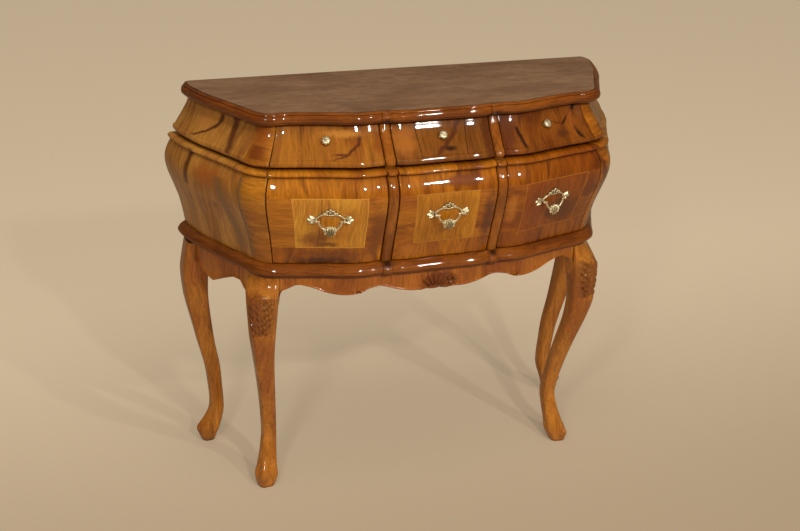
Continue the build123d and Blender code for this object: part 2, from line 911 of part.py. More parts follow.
for bay, side in bays.items():
    with BuildPart() as knob:
        add(turned(knob_plane(side), knob_outline))
    export(knob, f"upper_{bay}_knob")

    plate_plane = pull_plane(side)
    pivot = Vector(*plate_plane.from_local_coords((0, 0, pivot_stand)))
    pin_plane = Plane(pivot, x_dir=-plate_plane.z_dir, z_dir=plate_plane.x_dir)
    hang_plane = Plane(pivot, x_dir=plate_plane.x_dir, z_dir=plate_plane.x_dir.cross(Vector(0, 0, 1)))

    with BuildPart() as plate:
        with BuildSketch(plate_plane.offset(plate_stand)):
            for end in (-1, 1):
                with Locations((end * pull_half, 0)):
                    Circle(plate_band)
                leaf_x = end * (pull_half + leaf_length / 2)
                with Locations(Location((leaf_x, 0, 0), (0, 0, end * leaf_tilt))):
                    Ellipse(leaf_length / 2, leaf_height / 2)
                with BuildLine():
                    Polyline(
                        (end * pull_half, plate_band / 2),
                        (0, crest_height),
                        (0, crest_height - plate_band),
                        (end * pull_half, -plate_band / 2),
                        close=True,
                    )
                make_face()
            with Locations((0, crest_height)):
                Circle(plate_band)
            with Locations((-pull_half, 0), (pull_half, 0)):
                Circle(post_radius, mode=Mode.SUBTRACT)
        extrude(amount=plate_thick)
    export(plate, f"lower_{bay}_plate")

    with BuildPart() as bolts:
        for plane in bolt_planes(plate_plane):
            add(turned(plane, bolt_outline))
        with Locations(Location(pin_plane)):
            Cylinder(pin_radius + fit, 2 * pull_half + post_ball, mode=Mode.SUBTRACT)
    export(bolts, f"lower_{bay}_bolts")

    with BuildPart() as bail:
        shoulder = pull_half - post_ball - bail_radius - side_gap
        with BuildLine(hang_plane) as bail_line:
            low = (bail_radius - bail_drop) * bail_shares[1]
            FilletPolyline(
                (-shoulder, 0),
                (-shoulder * bail_shares[0], low),
                (shoulder * bail_shares[0], low),
                (shoulder, 0),
                radius=bail_drop * bail_shares[2],
            )
        with BuildSketch(Plane(bail_line.line @ 0, z_dir=bail_line.line % 0)):
            Circle(bail_radius)
        sweep()
        for end in (-1, 1):
            with Locations(hang_plane.from_local_coords((end * shoulder, 0, 0))):
                Sphere(bail_radius)
            pin_length = pull_half - shoulder
            pin_middle = Vector(*hang_plane.from_local_coords((end * (shoulder + pin_length / 2), 0, 0)))
            with Locations(Location(Plane(pin_middle, x_dir=-plate_plane.z_dir, z_dir=plate_plane.x_dir))):
                Cylinder(pin_radius, pin_length)
        with BuildSketch(hang_plane):
            with Locations((0, shell_rise + bail_radius - bail_drop)):
                Ellipse(shell_width / 2, shell_height / 2)
        extrude(amount=shell_thick / 2, both=True)
    export(bail, f"lower_{bay}_bail")
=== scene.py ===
"""Bombé chest of six drawers on cabriole legs: its looks.

Everything is in metres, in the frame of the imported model: +X to the right as seen from the front,
-Y to the front, +Z up. The case follows one serpentine plan curve. A station is a place on that
curve: 0 is the middle of the front, whole numbers are its rows, and the left half is negative.
Veneered and moulded pieces have a UV map in metres: U runs along the plan curve from the middle
of the front, and V is the height above the floor.
"""

import json
from math import cos, pi, radians, sin

import bpy
import numpy as np
from mathutils import Matrix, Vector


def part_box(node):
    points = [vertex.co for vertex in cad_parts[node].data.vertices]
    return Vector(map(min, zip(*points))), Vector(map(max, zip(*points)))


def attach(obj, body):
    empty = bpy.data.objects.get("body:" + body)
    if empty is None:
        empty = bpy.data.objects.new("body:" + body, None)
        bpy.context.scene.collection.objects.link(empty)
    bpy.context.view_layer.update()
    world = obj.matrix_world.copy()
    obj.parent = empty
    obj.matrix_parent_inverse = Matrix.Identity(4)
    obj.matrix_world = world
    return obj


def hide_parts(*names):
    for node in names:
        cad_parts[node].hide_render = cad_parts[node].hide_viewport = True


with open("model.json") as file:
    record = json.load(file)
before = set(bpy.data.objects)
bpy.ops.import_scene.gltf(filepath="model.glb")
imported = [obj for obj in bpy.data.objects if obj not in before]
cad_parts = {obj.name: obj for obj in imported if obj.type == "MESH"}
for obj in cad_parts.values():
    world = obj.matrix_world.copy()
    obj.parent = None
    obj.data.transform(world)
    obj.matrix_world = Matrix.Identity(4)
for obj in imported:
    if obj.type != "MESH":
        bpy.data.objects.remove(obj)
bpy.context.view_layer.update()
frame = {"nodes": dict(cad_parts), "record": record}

# Heights and the back plane, from the frame
back_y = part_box("back_panel")[1][1]
top_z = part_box("top_board")[1][2]
crown_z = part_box("top_moulding")[0][2]
waist_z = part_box("bottom_board")[1][2]
frieze_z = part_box("front_apron")[1][2]
drawer_gap = 0.006
mid_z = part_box("upper_middle_front")[0][2] - drawer_gap / 2
board_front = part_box("partitions")[0][1]

# Driving sizes of the case
half_width = 0.482
case_depth = 0.334
bay_half = 0.1205
post_half = 0.354
side_gap = 0.0015
edge_round = 0.0014
stile_half = 0.011
stile_proud = 0.008
post_inside = 0.025
wall = 0.02
leg_turn = 24  # degrees from the front, the way in which the front legs' knees point

# Plan curve: how far along each stretch, the depth as a share of the case depth, and the direction
# that faces outwards, in degrees from the front
centre_shares = [
    (0, 1.0, 0), (0.25, 1.002, 0), (0.5, 1.005, 0), (0.73, 1.003, 0), (0.87, 0.991, 0), (1, 0.979, 0),
]
bay_shares = [
    (0.066, 0.982, 0), (0.169, 0.988, 0), (0.285, 0.984, 0), (0.405, 0.964, 0), (0.533, 0.937, 0),
    (0.662, 0.912, 0), (0.79, 0.889, 3), (0.906, 0.868, 14), (1, 0.846, 34),
]
end_shares = [
    (0.113, 0.822, 46), (0.203, 0.789, 54), (0.273, 0.74, 60), (0.363, 0.656, 62.5), (0.484, 0.558, 64),
    (0.609, 0.458, 65), (0.734, 0.365, 66.5), (0.836, 0.269, 71), (0.922, 0.168, 78), (0.984, 0.072, 85),
    (1, 0, 90),
]
side_turn = 64  # degrees at which the profile has become that of the ends
stile_stop = 5  # stations of a stile's middle, of a post's outer end and of the back plane
post_stop = 17
back_stop = 25

# Profiles: height as a share of the face, then how far out at the front and at the ends
bulge = 0.041
lower_shares = [
    (0, 0.02, 0.02), (0.1, 0.15, 0.1), (0.2, 0.3, 0.2), (0.31, 0.46, 0.33), (0.41, 0.63, 0.5),
    (0.51, 0.77, 0.68), (0.61, 0.9, 0.86), (0.71, 1.0, 0.98), (0.79, 1.02, 1.0), (0.86, 0.96, 0.94),
    (0.94, 0.76, 0.78), (1, 0.55, 0.62),
]
lean = 0.033
upper_shares = [
    (0, 0.24, 0.48), (0.13, 0.06, 0.33), (0.33, -0.24, 0.09), (0.49, -0.52, -0.09), (0.72, -0.82, -0.33),
    (1, -1.08, -0.5),
]
roll_shares = [(0.36, 0.52), (0.45, 0.64)]
bead_root_share = (0.5, 0.55)
bead_height = 0.011
bead_proud = 0.009
roll_height = 0.014
groove_depth = 0.008
stile_groove = 0.002


def curve(padded, t):
    """A uniform Catmull-Rom spline through rows along the second-last axis, read at t.

    t counts rows from the second one, because the first and the last row only steer the ends.
    """
    i = np.clip(np.asarray(t, float).astype(int), 0, padded.shape[-2] - 4)
    f = (t - i)[:, None]
    a, b, c, d = (padded[..., i + k, :] for k in range(4))
    square, cube = 2 * a - 5 * b + 4 * c - d, 3 * b - a - 3 * c + d
    return (2 * b + (c - a) * f + square * f**2 + cube * f**3) / 2


def smooth(points, count):
    """The spline through points along the second-last axis, read at count even steps."""
    first = 2 * points[..., :1, :] - points[..., 1:2, :]
    last = 2 * points[..., -1:, :] - points[..., -2:-1, :]
    padded = np.concatenate([first, points, last], axis=-2)
    return curve(padded, np.linspace(0, points.shape[-2] - 1, count))


plan_rows = np.array([
    (start + along * (stop - start), deep * case_depth, turn)
    for start, stop, shares in (
        (0, bay_half, centre_shares), (bay_half, post_half, bay_shares), (post_half, half_width, end_shares))
    for along, deep, turn in shares
])
plan_rows = np.vstack([plan_rows[1] * (-1, 1, -1), plan_rows, plan_rows[-1]])


def plan(s):
    """X, depth from the back plane and outward direction, in degrees, of the waist line at stations s."""
    s = np.atleast_1d(np.asarray(s, float))
    x, deep, turn = curve(plan_rows, np.abs(s)).T
    side = np.where(s < 0, -1, 1)
    return side * x, deep, side * turn


table_s = np.linspace(-back_stop, back_stop, 5001)
table_x, table_deep = plan(table_s)[:2]
table_length = np.concatenate([[0], np.cumsum(np.hypot(np.diff(table_x), np.diff(table_deep)))])
table_length -= table_length[len(table_s) // 2]


def station_at(x):
    """The station of a place x across the front."""
    return np.interp(x, table_x, table_s)


def length_at(s):
    """The length of the waist line from the middle of the front to stations s."""
    return np.interp(s, table_s, table_length)


def case_point(s, out, z):
    """The point at stations s, out from the waist line along the outward direction, at height z."""
    x, deep, turn = plan(s)
    turn = np.radians(turn).reshape((-1,) + (1,) * (np.ndim(out) - 1))
    x, deep = x.reshape(turn.shape), deep.reshape(turn.shape)
    y = back_y - deep - out * np.cos(turn)
    return np.stack(np.broadcast_arrays(x + out * np.sin(turn), y, z), axis=-1)


def mixed(s, pair):
    """A front value and an end value, mixed by how far the stations have turned to the side."""
    share = np.minimum(np.abs(plan(s)[2]) / side_turn, 1)
    return pair[0] * (1 - share) + pair[1] * share


def column(out, z):
    """One outline point for each station, of shape (stations, 1, 2)."""
    out = np.atleast_1d(out)
    return np.stack([out, np.broadcast_to(z, out.shape)], axis=-1)[:, None]


def face(s, shares, size, low, high, count):
    """A face profile at each station, of shape (stations, count, 2): out and height."""
    points = [column(size * mixed(s, row[1:]), low + row[0] * (high - low)) for row in shares]
    return smooth(np.concatenate(points, axis=1), count)


def swell(start, nose, stop, count):
    """A half ellipse from start to stop whose middle is at nose, without its two ends."""
    t = np.linspace(0, pi, count + 2)[None, 1:-1, None]
    middle = (start + stop) / 2
    return middle + (start - middle) * np.cos(t) + (nose - middle) * np.sin(t)


def lower_face(s, foot=0.0, count=60):
    """The swelling face from the waist to the foot of the bead."""
    return face(s, lower_shares, bulge, waist_z + foot, mid_z - drawer_gap / 2 - bead_height, count)


def upper_face(s, head=0.0, count=30):
    """The face that leans back from the roll to the crown."""
    return face(s, upper_shares, lean, mid_z + drawer_gap / 2 + roll_height, crown_z - head, count)


def bead(s, foot):
    """The bead on top of the lower case and its upper end."""
    root = bulge * mixed(s, bead_root_share)
    top = column(root, mid_z - drawer_gap / 2)
    nose = column((foot[:, 0, 0] + root) / 2 + bead_proud, mid_z - drawer_gap / 2 - bead_height / 2)
    return np.concatenate([swell(foot, nose, top, 14), top], axis=1)


def roll(s, top):
    """The foot of the roll under the upper case, and the roll."""
    low = mid_z + drawer_gap / 2
    foot = column(lean * mixed(s, roll_shares[0]), low)
    nose = column(lean * mixed(s, roll_shares[1]), low + roll_height / 2)
    return np.concatenate([foot, swell(foot, nose, top, 12)], axis=1)


def spread(start, stop, step, edge=0.0):
    """Stations a step apart along the plan curve, and how far a rounding of the ends dips at each.

    A rounded end is a quarter circle of radius edge, with six stations of its own.
    """
    low, high = length_at(start), length_at(stop)
    lengths = np.linspace(low, high, int((high - low) / step) + 2)
    if edge:
        near = edge * (1 - np.cos(np.linspace(0, pi / 2, 6)))
        inner = lengths[(lengths > low + 1.5 * edge) & (lengths < high - 1.5 * edge)]
        lengths = np.concatenate([low + near, inner, high - near[::-1]])
        room = np.minimum(np.minimum(lengths - low, high - lengths), edge)
        dip = edge - np.sqrt(np.maximum(edge**2 - (edge - room) ** 2, 0))
    else:
        dip = np.zeros_like(lengths)
    return np.interp(lengths, table_length, table_s), dip


def grid_mesh(name, points, uvs=None, wrap=True, caps=True, crease=38):
    """A mesh of quads from a grid of points of shape (rows, columns, 3).

    wrap joins the last column to the first, and caps closes the first and the last row. uvs has one
    more column than points where the grid wraps. Edges sharper than the crease angle stay sharp.
    """
    rows, columns = points.shape[:2]
    index = np.arange(rows * columns).reshape(rows, columns)
    if wrap:
        index = np.hstack([index, index[:, :1]])
    width = index.shape[1]
    corners = [(slice(None, -1), slice(None, -1)), (slice(1, None), slice(None, -1)),
               (slice(1, None), slice(1, None)), (slice(None, -1), slice(1, None))]
    quads = np.stack([index[c] for c in corners], axis=-1).reshape(-1, 4)
    faces = quads.tolist()
    if caps:
        faces += [index[0, :columns].tolist(), index[-1, :columns][::-1].tolist()]
    mesh = bpy.data.meshes.new(name)
    mesh.from_pydata(points.reshape(-1, 3), [], faces)
    if uvs is not None:
        grid = np.arange(rows * width).reshape(rows, width)
        order = np.stack([grid[c] for c in corners], axis=-1).reshape(-1)
        if caps:
            order = np.concatenate([order, grid[0, :columns], grid[-1, :columns][::-1]])
        layer = mesh.uv_layers.new(name="plan")
        layer.data.foreach_set("uv", uvs.reshape(-1, 2)[order].reshape(-1).astype(np.float32))
    return finished(mesh, crease)


def read(items, key, count, kind=float):
    """A property of all of a mesh's vertices, corners or faces, as rows of count numbers."""
    values = np.empty(len(items) * count, kind)
    items.foreach_get(key, values)
    return values.reshape(-1, count)


def finished(mesh, crease=38):
    """Turns the faces outwards, so that the enclosed volume is positive, and smooths the rest.

    Edges that turn by more than the crease angle, in degrees, stay sharp.
    """
    mesh.calc_loop_triangles()
    corners = read(mesh.loop_triangles, "vertices", 3, int)
    a, b, c = read(mesh.vertices, "co", 3)[corners].transpose(1, 0, 2)
    if np.einsum("ij,ij->", a, np.cross(b, c)) < 0:
        mesh.flip_normals()
    mesh.shade_smooth()
    mesh.set_sharp_from_angle(angle=radians(crease))
    return mesh


def joined(name, meshes):
    """One mesh from several, without their UV maps: each one's numbers follow those before it."""
    points, corners, starts = [np.empty((0, 3))], [np.empty((0, 1), int)], [np.empty((0, 1), int)]
    for mesh in meshes:
        corners.append(read(mesh.loops, "vertex_index", 1, int) + sum(map(len, points)))
        starts.append(read(mesh.polygons, "loop_start", 1, int) + sum(map(len, corners[:-1])))
        points.append(read(mesh.vertices, "co", 3))
    whole = bpy.data.meshes.new(name)
    for items, key, rows in (
        (whole.vertices, "co", points), (whole.loops, "vertex_index", corners),
        (whole.polygons, "loop_start", starts),
    ):
        rows = np.concatenate(rows)
        items.add(len(rows))
        items.foreach_set(key, rows.reshape(-1))
    whole.update(calc_edges=True)
    whole.shade_smooth()
    whole.set_sharp_from_angle(angle=radians(38))
    return whole


def make(name, mesh, material, replaces, body="root"):
    """Puts a mesh in the scene as a piece that rides on a body and stands for CAD nodes."""
    piece = bpy.data.objects.new(name, mesh)
    bpy.context.scene.collection.objects.link(piece)
    mesh.materials.append(material)
    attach(piece, body)
    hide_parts(*replaces)


def carried(name, s, outline, crease=38):
    """A closed outline of (stations, points, 2) carried along the plan curve, with its UV map."""
    points = case_point(s, outline[..., 0], outline[..., 1])
    wrapped = np.concatenate([outline, outline[:, :1]], axis=1)
    uvs = np.stack([np.broadcast_to(length_at(s)[:, None], wrapped.shape[:2]), wrapped[..., 1]], axis=-1)
    return grid_mesh(name, points, uvs, crease=crease)


# Materials


class Nodes:
    """Adds nodes to a node tree. Each method returns the output socket of the node that it adds."""

    def __init__(self, tree):
        self.tree = tree

    def add(self, kind, inputs=(), out=0, **settings):
        node = self.tree.nodes.new(kind)
        for key, value in settings.items():
            setattr(node, key, value)
        for key, value in dict(inputs).items():
            if isinstance(value, bpy.types.NodeSocket):
                self.tree.links.new(value, node.inputs[key])
            else:
                node.inputs[key].default_value = value
        return node.outputs[out]

    def math(self, operation, a, b=0.0):
        return self.add("ShaderNodeMath", {0: a, 1: b}, operation=operation)

    def plus(self, a, b):
        return self.math("ADD", a, b)

    def minus(self, a, b):
        return self.math("SUBTRACT", a, b)

    def times(self, a, b):
        return self.math("MULTIPLY", a, b)

    def vector(self, operation, a, b=(0, 0, 0)):
        return self.add("ShaderNodeVectorMath", {0: a, 1: b}, operation=operation)

    def vector_length(self, vector):
        return self.add("ShaderNodeVectorMath", {0: vector}, out="Value", operation="LENGTH")

    def scaled(self, vector, scale):
        return self.vector("MULTIPLY", vector, scale)

    def split(self, vector):
        node = self.tree.nodes.new("ShaderNodeSeparateXYZ")
        self.tree.links.new(vector, node.inputs[0])
        return node.outputs

    def combine(self, x, y, z=0.0):
        return self.add("ShaderNodeCombineXYZ", {0: x, 1: y, 2: z})

    def noise(self, vector, scale, detail=4.0, roughness=0.5, distortion=0.0):
        inputs = {"Vector": vector, "Scale": scale, "Detail": detail, "Roughness": roughness}
        return self.add("ShaderNodeTexNoise", {**inputs, "Distortion": distortion})

    def shifts(self, vector, detail=2.0):
        """Three separate noises about nought, as a vector."""
        inputs = {"Vector": vector, "Scale": 1.0, "Detail": detail}
        return self.vector("SUBTRACT", self.add("ShaderNodeTexNoise", inputs, out="Color"), (0.5, 0.5, 0.5))

    def remap(self, value, low, high, to_low=0.0, to_high=1.0, smoothly=True):
        inputs = {0: value, 1: low, 2: high, 3: to_low, 4: to_high}
        steps = "SMOOTHSTEP" if smoothly else "LINEAR"
        return self.add("ShaderNodeMapRange", inputs, interpolation_type=steps)

    def blend(self, factor, a, b, mode="MIX"):
        inputs = {0: factor, 6: a, 7: b}
        return self.add("ShaderNodeMix", inputs, out=2, data_type="RGBA", blend_type=mode)

    def shaded(self, colour, shade):
        """A colour multiplied by a shade, where 1 leaves it as it is."""
        return self.blend(1.0, colour, self.combine(shade, shade, shade), "MULTIPLY")


def linear(red, green, blue):
    """A colour given in 8-bit display values, as linear values."""
    values = [v / 255 for v in (red, green, blue)]
    return tuple(v / 12.92 if v <= 0.04045 else ((v + 0.055) / 1.055) ** 2.4 for v in values) + (1,)


def shades(*colours):
    """A wood's light, middle and dark tones, each given in 8-bit display values."""
    return [linear(*colour) for colour in colours]


def group(name, inputs, outputs):
    """A shader node group with named sockets.

    Returns the tree, its inputs and a function that links a socket to a named output.
    """
    tree = bpy.data.node_groups.new(name, "ShaderNodeTree")
    for label, kind, value in inputs:
        socket = tree.interface.new_socket(label, in_out="INPUT", socket_type=kind)
        if value is not None:
            socket.default_value = value
    for label, kind in outputs:
        tree.interface.new_socket(label, in_out="OUTPUT", socket_type=kind)
    source = tree.nodes.new("NodeGroupInput")
    sink = tree.nodes.new("NodeGroupOutput")
    return tree, source.outputs, lambda label, socket: tree.links.new(socket, sink.inputs[label])


def mask_group(name, numbers, masks):
    """A node group that makes masks from a Vector and numbers, with its node adder."""
    tree, given, put = group(
        name, [("Vector", "NodeSocketVector", None)] + [(label, "NodeSocketFloat", 0.0) for label in numbers],
        [(label, "NodeSocketFloat") for label in masks])
    return tree, given, put, Nodes(tree)


def use(nodes, tree, inputs, out=0):
    """Places a node group and returns the output socket named or numbered by out."""
    node = nodes.tree.nodes.new("ShaderNodeGroup")
    node.node_tree = tree
    for key, value in inputs.items():
        if isinstance(value, bpy.types.NodeSocket):
            nodes.tree.links.new(value, node.inputs[key])
        else:
            node.inputs[key].default_value = value
    return node.outputs[out] if out is not None else node.outputs


def walnut_group():
    """Walnut: broad clouds of colour, dark growth figure, fine grain lines and open pores.

    The grain runs along Y of the vector, and the scales are in waves a metre. Figure is how strong
    the swirling dark streaks are.
    """
    tree, given, put = group(
        "walnut",
        [("Vector", "NodeSocketVector", None), ("Figure", "NodeSocketFloat", 0.5),
         ("Light", "NodeSocketColor", None), ("Middle", "NodeSocketColor", None),
         ("Dark", "NodeSocketColor", None), ("Fineness", "NodeSocketFloat", 1.0)],
        [("Color", "NodeSocketColor"), ("Height", "NodeSocketFloat")],
    )
    n = Nodes(tree)
    place = given["Vector"]
    warp = n.shifts(n.scaled(place, (9, 4, 9)), 3.0)
    warped = n.vector("ADD", place, n.scaled(warp, (0.09, 0.09, 0.09)))
    clouds = n.noise(n.scaled(warped, (16, 5, 16)), 1.0, 4.0, 0.55)
    rings = n.noise(n.scaled(warped, (42, 4, 42)), 1.0, 3.0, 0.5, 0.6)
    streaks = n.remap(rings, 0.5, 0.68)
    fine = n.noise(n.scaled(place, (900, 28, 900)), given["Fineness"], 3.0, 0.6)
    pores = n.noise(n.scaled(place, (1500, 90, 1500)), given["Fineness"], 2.0, 0.5)
    pores = n.remap(pores, 0.6, 0.72)
    base = n.blend(n.remap(clouds, 0.36, 0.62), given["Middle"], given["Light"])
    base = n.blend(n.times(streaks, given["Figure"]), base, given["Dark"])
    broad = n.noise(n.scaled(warped, (240, 14, 240)), 1.0, 2.0, 0.6)
    grain = n.remap(fine, 0.32, 0.68, 0.76, 1.15)
    grain = n.times(grain, n.remap(broad, 0.34, 0.66, 0.86, 1.12))
    put("Color", n.shaded(base, n.times(grain, n.remap(pores, 0, 1, 1.0, 0.55))))
    put("Height", n.minus(fine, pores))
    return tree


def inlay_group():
    """A four-sided string inlay: its line and its inside, as masks.

    Left and Right are the U of the sides at the middle height. Each lean is how far that side moves
    in U for each metre of height. Line is half the string's width.
    """
    numbers = ("Left", "Right", "Low", "High", "Left lean", "Right lean", "Line")
    tree, given, put, n = mask_group("string_inlay", numbers, ("Line", "Inside"))
    u, v = n.split(given["Vector"])[:2]
    rise = n.minus(v, n.times(n.plus(given["Low"], given["High"]), 0.5))
    left, right = [n.plus(given[label], n.times(rise, given[f"{label} lean"])) for label in ("Left", "Right")]
    beside = n.math("MINIMUM", n.minus(u, left), n.minus(right, u))
    above = n.math("MINIMUM", n.minus(v, given["Low"]), n.minus(given["High"], v))
    depth = n.math("MINIMUM", beside, above)
    put("Line", n.math("LESS_THAN", n.math("ABSOLUTE", depth), given["Line"]))
    put("Inside", n.math("GREATER_THAN", depth, 0.0))
    return tree


def vein_group():
    """A dark vein: a soft line along a parabola of U over V, broken up by noise, as a mask.

    The line is at U = Start + Slope * (V - Foot) + Bend * (V - Foot)^2, between Foot and Head.
    """
    numbers = ("Start", "Slope", "Bend", "Foot", "Head", "Width", "Waver")
    tree, given, put, n = mask_group("vein", numbers, ("Mask",))
    shift = n.shifts(n.scaled(given["Vector"], (60, 60, 60)))
    waver = n.combine(given["Waver"], given["Waver"], given["Waver"])
    u, v = n.split(n.vector("ADD", given["Vector"], n.vector("MULTIPLY", shift, waver)))[:2]
    rise = n.minus(v, given["Foot"])
    along = n.times(rise, n.plus(given["Slope"], n.times(rise, given["Bend"])))
    off = n.math("ABSOLUTE", n.minus(u, n.plus(given["Start"], along)))
    core = n.remap(n.math("DIVIDE", off, given["Width"]), 0.1, 0.9, 0.95, 0.0)
    low = n.remap(rise, -0.004, 0.004)
    high = n.remap(n.minus(given["Head"], v), -0.004, 0.004)
    put("Mask", n.times(core, n.times(low, high)))
    return tree


def patch_group():
    """A soft patch with a ragged edge, as a mask: an ellipse of U and V whose radius noise shifts."""
    numbers = ("Across", "Up", "Half width", "Half height")
    tree, given, put, n = mask_group("patch", numbers, ("Mask",))
    u, v = n.split(given["Vector"])[:2]
    x = n.math("DIVIDE", n.minus(u, given["Across"]), given["Half width"])
    y = n.math("DIVIDE", n.minus(v, given["Up"]), given["Half height"])
    far = n.vector_length(n.combine(x, y))
    ragged = n.noise(n.scaled(given["Vector"], (70, 70, 70)), 1.0, 3.0)
    put("Mask", n.remap(n.plus(far, ragged), 0.7, 1.6, 0.9, 0.0))
    return tree


walnut = walnut_group()
inlay = inlay_group()
vein = vein_group()
patch = patch_group()

# How far round a place the ambient occlusion looks, for the painted shade in the hollows of the wood and of
# the brass
painted_shade_reach = 0.008
brass_shade_reach = 0.004

# Colours of the marks
umber = linear(84, 40, 14)
ink = linear(40, 18, 8)
shadow = linear(92, 46, 18)
olive = linear(112, 84, 48)


def new_material(name):
    """A material with its Principled shader and a node adder."""
    material = bpy.data.materials.new(name)
    material.use_nodes = True
    return material, material.node_tree.nodes["Principled BSDF"], Nodes(material.node_tree)


def varnish(n, shader, colour, height, roughness=0.42, coat=1.0):
    """Colours a wood shader, darkens its hollows with painted shade and lays a clear coat over it."""
    # Painted shade: the colour darkens where ambient occlusion finds creases and hollows
    wood_occlusion = n.add("ShaderNodeAmbientOcclusion", {"Distance": painted_shade_reach}, out="AO", samples=6)
    colour = n.shaded(colour, n.remap(wood_occlusion, 0.3, 0.85, 0.4, 1.0))
    n.tree.links.new(colour, shader.inputs["Base Color"])
    shader.inputs["Roughness"].default_value = roughness
    shader.inputs["Specular IOR Level"].default_value = 0.06
    shader.inputs["Coat Weight"].default_value = coat
    shader.inputs["Coat Roughness"].default_value = 0.05
    shader.inputs["Coat IOR"].default_value = 1.5
    relief = n.add("ShaderNodeBump", {"Strength": 0.12, "Distance": 0.0002, "Height": height}, out="Normal")
    n.tree.links.new(relief, shader.inputs["Normal"])


def plan_uv(n):
    """The UV map of the carried pieces: the length along the plan curve, and the height."""
    return n.add("ShaderNodeUVMap", uv_map="plan")


def object_place(n):
    """Object coordinates, which are places in the shared frame while the drawers are in."""
    return n.add("ShaderNodeTexCoord", out="Object")


def turned_uv(n, uv):
    """The UV map with its axes swapped, for grain that runs along the plan curve."""
    u, v = n.split(uv)[:2]
    return n.combine(v, u)


def wood(n, vector, tones, figure=0.5, fineness=1.0):
    """The walnut group's two outputs, for three tones from light to dark."""
    inputs = {"Vector": vector, "Figure": figure, "Fineness": fineness}
    inputs.update(zip(("Light", "Middle", "Dark"), tones))
    return use(n, walnut, inputs, None)


def marked(n, uv, colour, height, marks):
    """Lays veins and patches over a colour, with the grain's height shading them.

    A mark is its group, its settings and its colour.
    """
    shade = n.remap(height, -0.5, 0.7, 0.62, 1.3)
    shade = n.combine(shade, shade, shade)
    for tree, settings, tone in marks:
        grained = n.blend(1.0, tone, shade, "MULTIPLY")
        colour = n.blend(use(n, tree, {"Vector": uv, **settings}), colour, grained)
    return colour


def line_mark(start, slope, bend, foot, head, width=0.004, tone=ink, waver=0.012):
    """A vein as a mark, or a straight seam where slope, bend and waver are nought."""
    place = {"Start": start, "Slope": slope, "Bend": bend, "Foot": foot, "Head": head}
    return vein, {**place, "Width": width, "Waver": waver}, tone


def patch_mark(across, up, half_wide, half_high, tone):
    """A soft patch as a mark."""
    return patch, {"Across": across, "Up": up, "Half width": half_wide, "Half height": half_high}, tone


def case_veneer(name, tones, seed, along, figure, marks):
    """Veneer on the UV map, with the grain upright or along the plan curve, and its own marks."""
    material, shader, n = new_material(name)
    uv = plan_uv(n)
    vector = n.vector("ADD", turned_uv(n, uv) if along else uv, (seed, seed / 2, seed / 3))
    colour, height = wood(n, vector, tones, figure)
    varnish(n, shader, marked(n, uv, colour, height, marks), height)
    return material


def plain_wood(name, tones, grain, figure, roughness=0.42, coat=1.0):
    """Solid wood on Object coordinates, with its grain along X or Z."""
    material, shader, n = new_material(name)
    x, y, z = n.split(object_place(n))[:3]
    vector = n.combine(x, z, y) if grain == "Z" else n.combine(y, x, z)
    colour, height = wood(n, vector, tones, figure)
    varnish(n, shader, colour, height, roughness, coat)
    return material


# The top's veneer: its own tone, partly greyed by a painted reflection of the room
top_tones = shades((154, 118, 88), (138, 101, 74), (112, 78, 56))
veneer_tones = shades((194, 124, 34), (166, 96, 24), (120, 60, 15))
# Each bay's own veneer tone, with painted light over it: the left bays are lighter and the right ones darker,
# as the light falls from the left
upper_tones = {
    "left": shades((174, 108, 30), (148, 82, 20), (108, 54, 13)),
    "middle": shades((136, 79, 20), (112, 60, 14), (74, 34, 9)),
    "right": shades((142, 78, 17), (116, 56, 11), (76, 32, 8)),
}
# The ends' veneer: their own tone, lightened by a painted sheen
side_tones = shades((202, 140, 58), (176, 112, 44), (124, 72, 30))
# The right post's veneer, darker than the left post's by painted shade, as it turns away from the light
right_post_tones = shades((184, 108, 22), (156, 86, 16), (106, 52, 10))
# Painted light as above: the left field lightest, the right darkest
field_tones = {
    "left": shades((218, 152, 48), (200, 128, 36), (162, 95, 24)),
    "middle": shades((204, 132, 28), (184, 114, 20), (146, 80, 14)),
    "right": shades((160, 84, 15), (140, 67, 11), (102, 46, 8)),
}
# Painted light as above: the left bands lightest, the right darkest
band_tones = {
    "left": shades((192, 117, 25), (164, 90, 17), (120, 58, 12)),
    "middle": shades((188, 112, 22), (162, 87, 15), (116, 54, 10)),
    "right": shades((166, 91, 13), (141, 70, 9), (99, 42, 7)),
}
# The mouldings' walnut: its own tone, darkened by painted shade, as their faces turn downwards
moulding_tones = shades((144, 78, 20), (120, 59, 14), (80, 36, 10))
stile_tones = shades((172, 99, 25), (142, 76, 17), (94, 44, 11))
leg_tones = shades((200, 126, 44), (172, 98, 34), (120, 61, 23))
apron_tones = shades((186, 107, 34), (157, 81, 24), (106, 48, 16))
inside_tones = shades((206, 176, 130), (190, 156, 108), (160, 124, 80))
# The strings too are lighter on the left and darker on the right, as painted light
string_tones = {"left": linear(222, 158, 62), "middle": linear(192, 126, 46), "right": linear(178, 106, 34)}
carving_tone = linear(104, 54, 28)

# The mouldings are dark where the stiles meet them, between these heights
stile_u = float(length_at(station_at(bay_half)))
dark_width = 0.017
dark_heights = ((0.551, 0.565), (0.853, 0.866))
stile_marks = [line_mark(side * stile_u, 0, 0, foot, head, dark_width, ink, 0.0)
               for side in (-1, 1) for foot, head in dark_heights]
moulding_finish = case_veneer("moulding_walnut", moulding_tones, 3.0, True, 0.4, stile_marks)
stile_finish = plain_wood("stile_walnut", stile_tones, "Z", 0.35)
top_finish = plain_wood("top_veneer", top_tones, "X", 0.3, 0.5, 0.6)
inside_finish = plain_wood("inside_softwood", inside_tones, "X", 0.15, 0.75, 0.0)

# Where the wood is given a darker tone: the leaf on each front knee, by the height of its middle, its
# place out along the knee and its least X, and the shell on the front apron
leaf_z = 0.443
leaf_half = 0.045
leaf_edge = 0.005
leaf_out = 0.245
leaf_out_edge = 0.007
leaf_x = 0.34
leaf_ragged = 0.007
shell_x = 0.002
shell_z = 0.502
shell_squeeze_share = 0.45
shell_reach = 0.0185
shell_edge = 0.0025
shell_y = -0.13
carving_tone_share = 0.6


